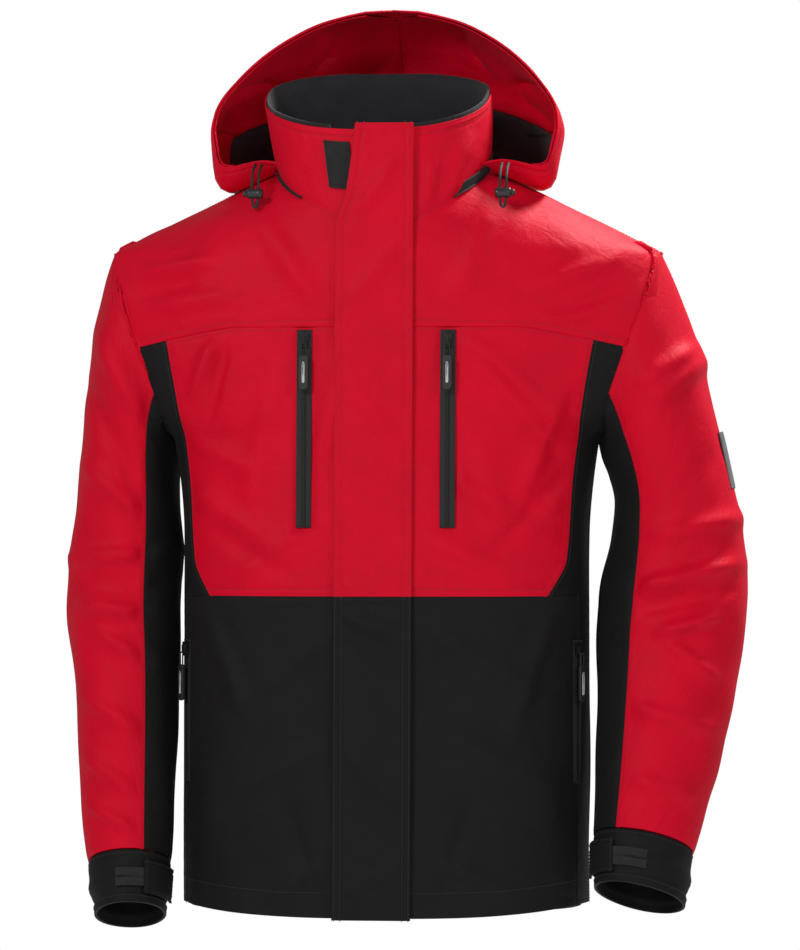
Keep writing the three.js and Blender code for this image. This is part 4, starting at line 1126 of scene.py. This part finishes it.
FLAP_FOLDS = [((-36, 318), (30, 300), 8, 1.6), ((-30, 300), (36, 275), 6, -1.2),
              ((-40, 350), (20, 336), 7, 1.2), ((20, 700), (-30, 640), 12, 1.2),
              ((-30, 180), (30, 120), 12, 1.2), ((30, 60), (-30, 30), 9, 1.2),
              ((-30, 560), (20, 500), 12, 1.0), ((20, 790), (-20, 735), 10, 1.6)]


def flap_grid(low, high):
    z = (low + (high - low) * spread(high - low, 4.0))[:, None]
    cols = spread(82, 3.0)
    x = FLAP_SEWN_X + (free_edge(z) - FLAP_SEWN_X) * cols
    wave = np.sin(z / 31.0 + 1.5 * np.sin(z / 83.0))
    y = FLAP_FACE - 0.8 * wave * cols - 1.6 * smoothstep(700, 831, z) * cols
    return from_front(np.stack(np.broadcast_arrays(x, y, z), -1))[:, ::-1]


flap_parts = [shaped(flap_grid(low, high), 1, sewn=(1, 1, low > 0, 1), stitched=(1, 1, 0, low > 0),
                     folds=FLAP_FOLDS,
                     loose=0.7, turn=1.0) for low, high in ((CHEST_Z, FRONT_TOP), (3, CHEST_Z))]
flap = cloth("storm_flap", flap_parts, red_fabric, 1, thick=2.2, body="storm_flap", held="hung",
             rests_on=("chest_left", "collar_outer"), tall=FRONT_TOP * MM)
flap.data.materials.append(black_fabric)
upper_faces = len(sheet_parts(flap_parts[0], 2.2)[1])
below = np.arange(len(flap.data.polygons)) >= upper_faces
flap.data.polygons.foreach_set("material_index", below.astype(np.int32))
x, z = np.meshgrid(np.linspace(-40, -25, 8), np.linspace(20, 683, 240))
strip = from_front(np.stack((x, np.full_like(x, -0.4), z), -1))
cloth("flap_hook_strip", [strip], hook_pile, 1, thick=1.3, body="storm_flap", rests_on=("storm_flap",))
print("flap:", [part.shape for part in flap_parts])

# %% [markdown]
# ## Lining
# A thin fleece lines the body, 8 mm inside the shell. It shows through the hem
# and the neck, so its quarters follow the same seams a little further in.

# %% Body lining
LINING_INSET = 8.0


def lining_quarter(side, back):
    """From the hem up to the yoke seam."""
    cols, rows = np.meshgrid(spread(200, 6), spread(600, 7))
    z = 12 + (600 - 12) * rows
    for _ in range(3):
        first = w_at(np.full_like(z, 0 if back else 26), z)
        last = np.where(z > UNDERARM_Z - 1, armhole_w(z), 0.5)
        w = first * (1 - cols) + last * cols
        z = 12 + (yoke_seam(np.abs(body_point(w, z, 1)[..., 0])) - 12) * rows
    return body_point(1 - w if back else w, z, side, LINING_INSET)


quarters = []
for side in (-1, 1):
    for back in (False, True):
        facing = -side if back else side
        upper = yoke_grid(side, back, LINING_INSET)[::2, ::2]
        for grid in (lining_quarter(side, back), upper if back else upper[:, 4:]):
            grid[..., 2] -= 5 * smoothstep(590, 680, grid[..., 2])
            grid = pushed(grid, facing, 0.7 * slack(grid))
            quarters.append(grid if facing > 0 else grid[:, ::-1])
cloth("body_lining", quarters, fleece, 1, thick=1.2, rests_on=("back_yoke",), held="hung")
print("lining in", len(quarters), "sheets")

# %% [markdown]
# ## Badge and hanger loop
# The badge is a plain felted patch on the wearer's left sleeve. The hanger loop is a strap of
# webbing sewn inside the back of the neck; the jacket hangs from it.

# %% Badge and loop
angle, row = np.meshgrid(np.linspace(0.22, -0.30, 26), np.linspace(4.42, 3.55, 34))
badge = sleeve_ring("left", row, angle, 0.0, 1.0)
badge = pushed(badge, 1, 0.25 * slack(badge))
u, v = lengths(badge)
edge = np.minimum(np.minimum(u, u[:, -1:] - u), np.minimum(v, v[-1:] - v))
badge = pushed(badge, 1, 0.5 * np.exp(-((edge - 1.2) / 1.1) ** 2))
cloth("sleeve_badge", [badge], badge_felt, 1, thick=1.2, rests_on=("sleeve_outer_left",))
LOOP_HALF, LOOP_REACH = 25, 14
turn, across = np.meshgrid(np.linspace(-1, 1, 49), np.linspace(-4, 4, 7))
loop = np.stack((LOOP_HALF * np.sin(turn * math.pi / 2),
                 COLLAR_BACK - 6.4 - LOOP_REACH * np.cos(turn * math.pi / 2) ** 0.7,
                 798 + across), -1)
cloth("hanger_loop", [loop], tape_weave, 1, thick=1.4, rests_on=("collar_lining",), held="hung")
print("badge and hanger loop done")

# %% [markdown]
# ## Hood cords
# A draw cord comes out of the hood's rim on each side, makes a short loop through its lock and
# goes back in. Each is 3 mm braid, 129 mm of which shows.

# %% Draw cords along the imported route
LEG, DROP, FORWARD = 3.4, 28, 30
CORD_THICK = 3 * MM


def cord_route(side):
    down = [(-LEG, FORWARD - 0.8, 4), (-LEG, 10, -4), (-LEG, 1, -14), (-LEG, 0, -DROP), (-2.4, 0, -DROP - 12)]
    back_up = [(-x, y, z) for x, y, z in reversed(down)]
    start = np.array((side * (COLLAR_HALF + 22), RIM_LOW_Y - FORWARD, HOOD_Z - 2), float)
    return place(np.array(down + [(0, 0, -DROP - 15)] + back_up) + start)


def smooth_path(points, count):
    knots = np.concatenate(((0,), np.cumsum(np.linalg.norm(np.diff(points, axis=0), axis=1))))
    axes = [curve_through(knots, points[:, k])(np.linspace(0, knots[-1], count)) for k in range(3)]
    return np.stack(axes, -1)


def ring_faces(rings, sides):
    """Quads between each ring of points and the next."""
    faces = []
    for low in range(0, (rings - 1) * sides, sides):
        high = low + sides
        faces += [(low + i, low + (i + 1) % sides, high + (i + 1) % sides, high + i) for i in range(sides)]
    return faces


def tube(name, points, radius, look, sides=10):
    """A closed tube along a path."""
    tangents = np.gradient(points, axis=0)
    tangents /= np.linalg.norm(tangents, axis=1, keepdims=True)
    up = np.array((0.31, 0.9, 0.3))
    rings = []
    for p, t in zip(points, tangents):
        across = np.cross(t, up)
        across /= np.linalg.norm(across)
        up = np.cross(across, t)
        turn = np.linspace(0, 2 * math.pi, sides, endpoint=False)[:, None]
        rings.append(p + radius * (np.cos(turn) * across + np.sin(turn) * up))
    verts = np.concatenate(rings + [points[:1], points[-1:]])
    last = len(points) - 1
    faces = ring_faces(last + 1, sides)
    first_cap, last_cap = len(verts) - 2, len(verts) - 1
    faces += [(first_cap, (i + 1) % sides, i) for i in range(sides)]
    faces += [(last_cap, last * sides + i, last * sides + (i + 1) % sides) for i in range(sides)]
    obj = turned_out(mesh_object(name, verts, faces))
    smooth(obj.data)
    obj.data.materials.append(look)
    return obj


def turned_out(obj):
    bm = bmesh.new()
    bm.from_mesh(obj.data)
    bmesh.ops.recalc_face_normals(bm, faces=bm.faces)
    if bm.calc_volume(signed=True) < 0:
        bmesh.ops.reverse_faces(bm, faces=bm.faces)
    bm.to_mesh(obj.data)
    bm.free()
    return obj


locks = {}
for hand, side in SIDES.items():
    route = smooth_path(cord_route(side), 61)
    cord = tube("draw_cord_" + hand, route, CORD_THICK / 2, cord_braid)
    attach(cord, "hood")
    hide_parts("hood_cord_" + hand)
    length = float(np.linalg.norm(np.diff(route, axis=0), axis=1).sum())
    locks[hand] = (cord, route, length)
    print("cord", hand, "shows", round(length, 4), "m")

# %% [markdown]
# A cord lock is a moulded barrel with a sprung button at its outer end: pressing it lets the
# cord run. Both turn round one axis, so each is an outline spun about X.

# %% Cord locks and their buttons
def spun(name, outline, centre, look, body, stands_for, sides=28):
    """A solid of revolution about X through [x, radius] points, closed at both ends."""
    outline = np.asarray(outline, float)
    turn = np.linspace(0, 2 * math.pi, sides, endpoint=False)
    rings = np.stack([np.stack((np.full(sides, x), r * np.cos(turn), r * np.sin(turn)), -1)
                      for x, r in outline])
    verts = np.concatenate((rings.reshape(-1, 3), [(outline[0][0], 0, 0)], [(outline[-1][0], 0, 0)])) + centre
    last = len(outline) - 1
    faces = ring_faces(last + 1, sides)
    caps = len(outline) * sides
    faces += [(caps, (i + 1) % sides, i) for i in range(sides)]
    faces += [(caps + 1, last * sides + i, last * sides + (i + 1) % sides) for i in range(sides)]
    obj = turned_out(mesh_object(name, place(verts), faces))
    smooth(obj.data)
    obj.data.materials.append(look)
    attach(obj, body)
    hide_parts(*stands_for)
    return obj


for hand, side in SIDES.items():
    centre = np.array((side * (COLLAR_HALF + 22), RIM_LOW_Y - FORWARD, HOOD_Z - 2 - DROP), float)
    ribs = [(x, 5.5 - 0.45 * (k % 2)) for k, x in enumerate(np.linspace(-3.4, 5.2, 9))]
    barrel = [(-8.5, 2.6), (-8.3, 4.0), (-7.6, 4.9), (-6.4, 5.35), (-4.6, 5.5), *ribs, (6.6, 5.5), (7.9, 5.2),
              (8.4, 4.7), (8.5, 4.1), (8.1, 3.9), (5.4, 3.9)]
    barrel = [(side * x, r) for x, r in barrel]
    lock = spun("cord_lock_barrel_" + hand, barrel, centre, moulded, "cord_lock_" + hand,
                ["cord_lock_" + hand])
    knob = [(side * x, r) for x, r in ((7.7, 3.3), (9.0, 3.3), (9.8, 3.5), (10.9, 3.6), (12.0, 3.1),
                                       (12.7, 2.0), (12.9, 1.0))]
    button = spun("cord_lock_knob_" + hand, knob, centre, moulded, "cord_lock_button_" + hand,
                  ["cord_lock_button_" + hand])
    cord, route, length = locks[hand]
print("cord locks:", len(locks))

# %% [markdown]
# ## Zips
# Each pocket zip is a woven tape with a nylon coil down its middle. A coil is one small turn
# repeated, so it is placed by geometry nodes along the zip and made into one plain mesh. The
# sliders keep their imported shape; each has a moulded pull with a pale stripe on a doubled cord.

# %% A geometry-nodes tool that repeats a part along lines
def repeat_group():
    group = bpy.data.node_groups.new("repeat_along_lines", "GeometryNodeTree")
    for name, kind in (("Lines", "Geometry"), ("Part", "Object"), ("Spacing", "Float"), ("Lean", "Float"),
                       ("Finish", "Material")):
        group.interface.new_socket(name, in_out="INPUT", socket_type="NodeSocket" + kind)
    group.interface.new_socket("Parts", in_out="OUTPUT", socket_type="NodeSocketGeometry")
    source, sink = node(group, "NodeGroupInput"), node(group, "NodeGroupOutput")
    outward = node(group, "GeometryNodeInputNamedAttribute", {"Name": "outward"},
                   data_type="FLOAT_VECTOR").outputs[0]
    curve = node(group, "GeometryNodeMeshToCurve", {"Mesh": source.outputs["Lines"]})
    even = node(group, "GeometryNodeResampleCurve", {"Curve": curve.outputs[0]}, mode="LENGTH")
    group.links.new(source.outputs["Spacing"], even.inputs["Length"])
    tangent = node(group, "GeometryNodeInputTangent").outputs[0]
    along = node(group, "FunctionNodeAlignRotationToVector", {"Vector": tangent}, axis="X")
    faced = node(group, "FunctionNodeAlignRotationToVector",
                 {"Rotation": along.outputs[0], "Vector": outward},
                 axis="Z", pivot_axis="X")
    turned = node(group, "FunctionNodeRotateRotation", {"Rotation": faced.outputs[0]}, rotation_space="LOCAL")
    angles = node(group, "ShaderNodeCombineXYZ", {"Z": source.outputs["Lean"]})
    group.links.new(angles.outputs[0], turned.inputs["Rotate By"])
    part = node(group, "GeometryNodeObjectInfo", {"Object": source.outputs["Part"]})
    copies = node(group, "GeometryNodeInstanceOnPoints",
                  {"Points": even.outputs[0], "Instance": part.outputs["Geometry"],
                                                          "Rotation": turned.outputs[0]})
    real = node(group, "GeometryNodeRealizeInstances", {0: copies.outputs[0]})
    finished = node(group, "GeometryNodeSetMaterial",
                    {"Geometry": real.outputs[0], "Material": source.outputs["Finish"]})
    group.links.new(finished.outputs[0], sink.inputs["Parts"])
    return group


REPEAT = repeat_group()


def repeated(name, lines, part, spacing, look, body, lean=0.0):
    """lines is a list of (points, outward directions), in millimetres from the hem."""
    points = np.concatenate([line for line, _ in lines])
    outward = np.concatenate([np.broadcast_to(out, line.shape) for line, out in lines])
    edges, start = [], 0
    for line, _ in lines:
        edges += [(start + i, start + i + 1) for i in range(len(line) - 1)]
        start += len(line)
    mesh = bpy.data.meshes.new(name + "_lines")
    mesh.from_pydata(place(points).tolist(), edges, [])
    attribute = mesh.attributes.new("outward", "FLOAT_VECTOR", "POINT")
    attribute.data.foreach_set("vector", np.ascontiguousarray(outward, np.float32).ravel())
    guide = link(bpy.data.objects.new(name + "_lines", mesh))
    modifier = guide.modifiers.new("repeat", "NODES")
    modifier.node_group = REPEAT
    sockets = {item.name: item.identifier for item in REPEAT.interface.items_tree if item.in_out == "INPUT"}
    for key, value in (("Part", part), ("Spacing", spacing * MM), ("Lean", lean), ("Finish", look)):
        modifier[sockets[key]] = value
    depsgraph = bpy.context.evaluated_depsgraph_get()
    plain_mesh = bpy.data.meshes.new_from_object(guide.evaluated_get(depsgraph))
    made = link(bpy.data.objects.new(name, plain_mesh))
    bpy.data.objects.remove(guide)
    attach(made, body)
    print(name + ":", len(plain_mesh.polygons), "faces")
    return made


def small_part(name, points, faces):
    obj = mesh_object(name, np.asarray(points) * MM, faces)
    smooth(obj.data)
    turned_out(obj)
    return obj


def loft_part(name, rings):
    """A closed part through rings of equally many points, capped flat."""
    sides = len(rings[0])
    points = [p for ring in rings for p in ring]
    faces = ring_faces(len(rings), sides)
    faces += [tuple(range(sides))[::-1], tuple(range((len(rings) - 1) * sides, len(rings) * sides))]
    return small_part(name, points, faces)


def ring_x(x, wide, high, lift=0.0, sides=6):
    return [(x, wide * math.cos(2 * math.pi * k / sides), lift + high * math.sin(2 * math.pi * k / sides))
            for k in range(sides)]


stitch = loft_part("stitch_master", [ring_x(-1.25, 0.12, 0.1, -0.15), ring_x(-0.9, 0.36, 0.26),
                                     ring_x(0, 0.42, 0.32, 0.06),
                                     ring_x(0.9, 0.36, 0.26), ring_x(1.25, 0.12, 0.1, -0.15)])
COIL_TURN = ((-2.3, 0.0), (-1.6, 0.45), (0, 0.6), (1.6, 0.45), (2.3, 0.0))  # across, height
tooth_rings = [[(0.45 * math.cos(2 * math.pi * k / 6), y, h + 0.42 * math.sin(2 * math.pi * k / 6))
                for k in range(6)] for y, h in COIL_TURN]
tooth = loft_part("coil_master", tooth_rings)

# %% [markdown]
# Each zip runs straight between two points on the body, and faces outwards.

# %% Tapes and coils
ZIPS = {}
for hand, side in SIDES.items():
    for kind, x, top, length, out in (("chest", CHEST_ZIP_X, CHEST_ZIP_TOP, CHEST_ZIP_LENGTH, (0, -1, 0)),
                                      ("hand", SIDE_X, HAND_ZIP_TOP, HAND_ZIP_LENGTH, (side * 0.8, -0.6, 0))):
        ends = [np.array(body_point(w_at(np.float64(x), z), z, side))
                for z in (np.float64(top), np.float64(top - length))]
        up = ends[0] - ends[1]
        up = up / np.linalg.norm(up)
        across = np.cross(up, np.array(out, float))
        across /= np.linalg.norm(across)
        outward = np.cross(across, up)
        ZIPS[f"{kind}_zip_{hand}"] = (ends[0], up, across, outward, length)

for name, (top, up, across, outward, length) in ZIPS.items():
    u, v = np.meshgrid(np.linspace(-ZIP_HALF, ZIP_HALF, 13), np.linspace(-length, 0, 60))
    crown = 0.5 * np.exp(-((np.abs(u) - 3.6) / 0.8) ** 2) - 0.25 * np.exp(-((np.abs(u) - 6.4) / 0.6) ** 2)
    tape = top + u[..., None] * across + v[..., None] * up + (crown + 0.1)[..., None] * outward
    facing = 1 if np.dot(normals_of(tape)[30, 6], outward) > 0 else -1
    cloth(name + "_tape", [tape], tape_weave, facing, thick=1.1)
    line = top + np.linspace(2 - length, -2, 3)[:, None] * up + 0.15 * outward
    repeated(name + "_coil", [(line, outward)], tooth, 1.25, coil_nylon, JACKET)


# %% [markdown]
# A pull is a rounded tab with a chamfered edge, and it hangs from its slider on a doubled cord.

# %% Moulded pulls on doubled cords
def pull_piece(name, frame_axes, pivot, width, length, thick, body):
    """A rounded tab with a chamfered edge and a pale stripe, hanging from the pivot on a cord."""
    across, outward, up = frame_axes
    cord_length = 13

    def here(points):
        points = np.asarray(points, float)
        return pivot + points[..., :1] * across + points[..., 1:2] * outward + points[..., 2:] * up

    def tab(label, half, top, bottom, deep, shift, look, corner):
        outline = []
        for cx, cz, start in ((half - corner, bottom + corner, -90), (half - 3, top - 3, 0),
                              (3 - half, top - 3, 90),
                              (corner - half, bottom + corner, 180)):
            r = corner if cz < (top + bottom) / 2 else 3
            outline += [(cx + r * math.cos(math.radians(start + k * 15)),
                         cz + r * math.sin(math.radians(start + k * 15)))
                        for k in range(7)]
        outline = np.array(outline)
        middle = outline.mean(0)
        rings = []
        for shrink, y in ((0.72, -deep), (0.9, -deep), (1.0, 0.55 - deep), (1.0, deep - 0.55), (0.9, deep),
                          (0.72, deep)):
            ring = middle + (outline - middle) * np.array((shrink, 1 - (1 - shrink) * 0.3))
            rings.append(here(np.stack((ring[:, 0], np.full(len(ring), y + shift), ring[:, 1]), -1)))
        count = len(outline)
        verts = np.concatenate(rings)
        faces = ring_faces(len(rings), count)
        faces += [tuple(range(count))[::-1], tuple(range((len(rings) - 1) * count, len(rings) * count))]
        obj = turned_out(mesh_object(label, place(verts), faces))
        obj.data.materials.append(look)
        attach(obj, body)
        return obj

    made = tab("moulded_" + name, width / 2, -cord_length, -cord_length - length, thick / 2, 0, rubber,
               width / 2 - 0.6)
    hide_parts(name)
    tab("stripe_" + name, 1.5, -cord_length - 7, -cord_length - length + 7, 0.5, thick / 2, stripe, 1.2)
    turn = np.linspace(0, math.pi, 17)
    legs = [(2.4, 0, -cord_length - 2), (2.5, 0, -cord_length / 2)]
    legs += [(2.6 * math.cos(a), 0, 0.9 * math.sin(a) - 1.2) for a in turn]
    legs += [(-2.5, 0, -cord_length / 2), (-2.4, 0, -cord_length - 2)]
    loop = tube("cord_of_" + name, smooth_path(place(here(np.array(legs))), 40), 0.8 * MM, cord_braid, 8)
    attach(loop, body)


PIVOT_BELOW_TOP, PIVOT_OUT = 13.8, 7.42  # where a pull turns on its slider
for name, (top, up, across, outward, length) in ZIPS.items():
    pivot = top - PIVOT_BELOW_TOP * up + PIVOT_OUT * outward
    width, tab_length, thick = (10, 36, 4) if "chest" in name else (9, 38, 3.4)
    pull_piece(name + "_pull", (across, outward, up), pivot, width, tab_length, thick, name + "_pull")
print("pulls:", len(ZIPS))

# %% [markdown]
# The main zip and the sliders are right as they are packed, and only change their finish.

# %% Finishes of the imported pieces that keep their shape
KEPT = {"slider": coated, "main_zip_tape": tape_weave, "main_zip_pull": rubber, "main_zip_slider": coated}
for name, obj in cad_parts.items():
    for key, look in KEPT.items():
        if key in name and name + "_tape" not in ZIPS:
            for slot in obj.material_slots:
                slot.material = look
print("packed pieces given new finishes:", sum(any(key in name for key in KEPT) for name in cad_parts))

# %% [markdown]
# ## Topstitching
# Seams on such a jacket are stitched down again a few millimetres from the fold. Each row is read
# off the finished panel: the line at a fixed distance from one side of its grid. One small stitch
# is then repeated along every row with the same tool as the zip coils.

# %% Rows of stitches read off the panels
def row_beside(grid, facing, which, distance, lift=0.25):
    """The line at a distance from one side of a grid: first, last (columns), low or high (rows)."""
    u, v = lengths(grid)
    if which in ("low", "high"):
        run = v if which == "low" else v[-1:] - v
        order = np.argsort(run.mean(1))
        run, points = run[order].T, grid[order].swapaxes(0, 1)
        n = normals_of(grid, facing)[order].swapaxes(0, 1)
    else:
        run = u if which == "first" else u[:, -1:] - u
        order = np.argsort(run.mean(0))
        run, points, n = run[:, order], grid[:, order], normals_of(grid, facing)[:, order]
    line, out = [], []
    for r, p, m in zip(run, points, n):
        if r[-1] < distance * 1.5:
            continue
        line.append([np.interp(distance, r, p[:, k]) for k in range(3)])
        out.append([np.interp(distance, r, m[:, k]) for k in range(3)])
    line, out = np.array(line), np.array(out)
    return line + out * lift, out


def stitched_rows(names_and_rows):
    lines = []
    for name, which, distance in names_and_rows:
        grids, facing = PANELS[name]
        for grid in grids:
            lines.append(row_beside(grid, facing, which, distance))
    return lines


STITCH_STEP = 3.3  # from one stitch to the next
HEM_ROW = 26.0  # rows this far from their edges
EDGE_ROW = 2.0
red_rows = []
for hand in SIDES:
    red_rows += [("chest_" + hand, "high", 3.2), ("chest_" + hand, "low", TOPSTITCH),
                 ("yoke_" + hand, "low", TOPSTITCH),
                 ("chest_" + hand, "last", 3.2), ("sleeve_outer_" + hand, "first", 3.2),
                 ("sleeve_outer_" + hand, "last", 3.2), ("yoke_" + hand, "high", 3.4)]
red_rows += [("collar_outer", "high", TOPSTITCH), ("collar_outer", "low", 3.4),
             ("back_yoke", "low", TOPSTITCH),
             ("back_upper", "low", TOPSTITCH)]
repeated("red_topstitch", stitched_rows(red_rows), stitch, STITCH_STEP, red_thread, JACKET)
hood_rows = [("hood_shell", "first", 9.0), ("hood_shell", "last", 9.0)]
repeated("hood_topstitch", stitched_rows(hood_rows), stitch, STITCH_STEP, red_thread, "hood")

black_rows = []
for hand in SIDES:
    black_rows += [("front_lower_" + hand, "low", HEM_ROW), ("side_panel_" + hand, "first", 3.4),
                   ("cuff_" + hand, "low", 4.0), ("cuff_" + hand, "high", 7.0),
                   ("cuff_loop_strip_" + hand, "low", 1.6),
                   ("cuff_loop_strip_" + hand, "high", 1.6)]
black_rows += [("back_lower", "low", HEM_ROW)]
black_rows += [("collar_loop_patch", edge, EDGE_ROW) for edge in ("low", "high", "first", "last")]
black_rows += [("sleeve_badge", edge, EDGE_ROW) for edge in ("first", "last", "low", "high")]
repeated("black_topstitch", stitched_rows(black_rows), stitch, STITCH_STEP, black_thread, JACKET)

flap_upper, flap_lower = PANELS["storm_flap"][0]
for label, part, look in (("red", flap_upper, red_thread), ("black", flap_lower, black_thread)):
    rows = [row_beside(part, 1, which, distance) for which in ("first", "last") for distance in (2.2, 9.0)]
    repeated("flap_topstitch_" + label, rows, stitch, STITCH_STEP, look, "storm_flap")
for hand in SIDES:
    rows = stitched_rows([("cuff_tab_" + hand, which, 2.2) for which in ("first", "last", "low", "high")])
    repeated("tab_topstitch_" + hand, rows, stitch, STITCH_STEP, black_thread, "cuff_tab_" + hand)
for master in (stitch, tooth):
    bpy.data.objects.remove(master)
print("stitching done")
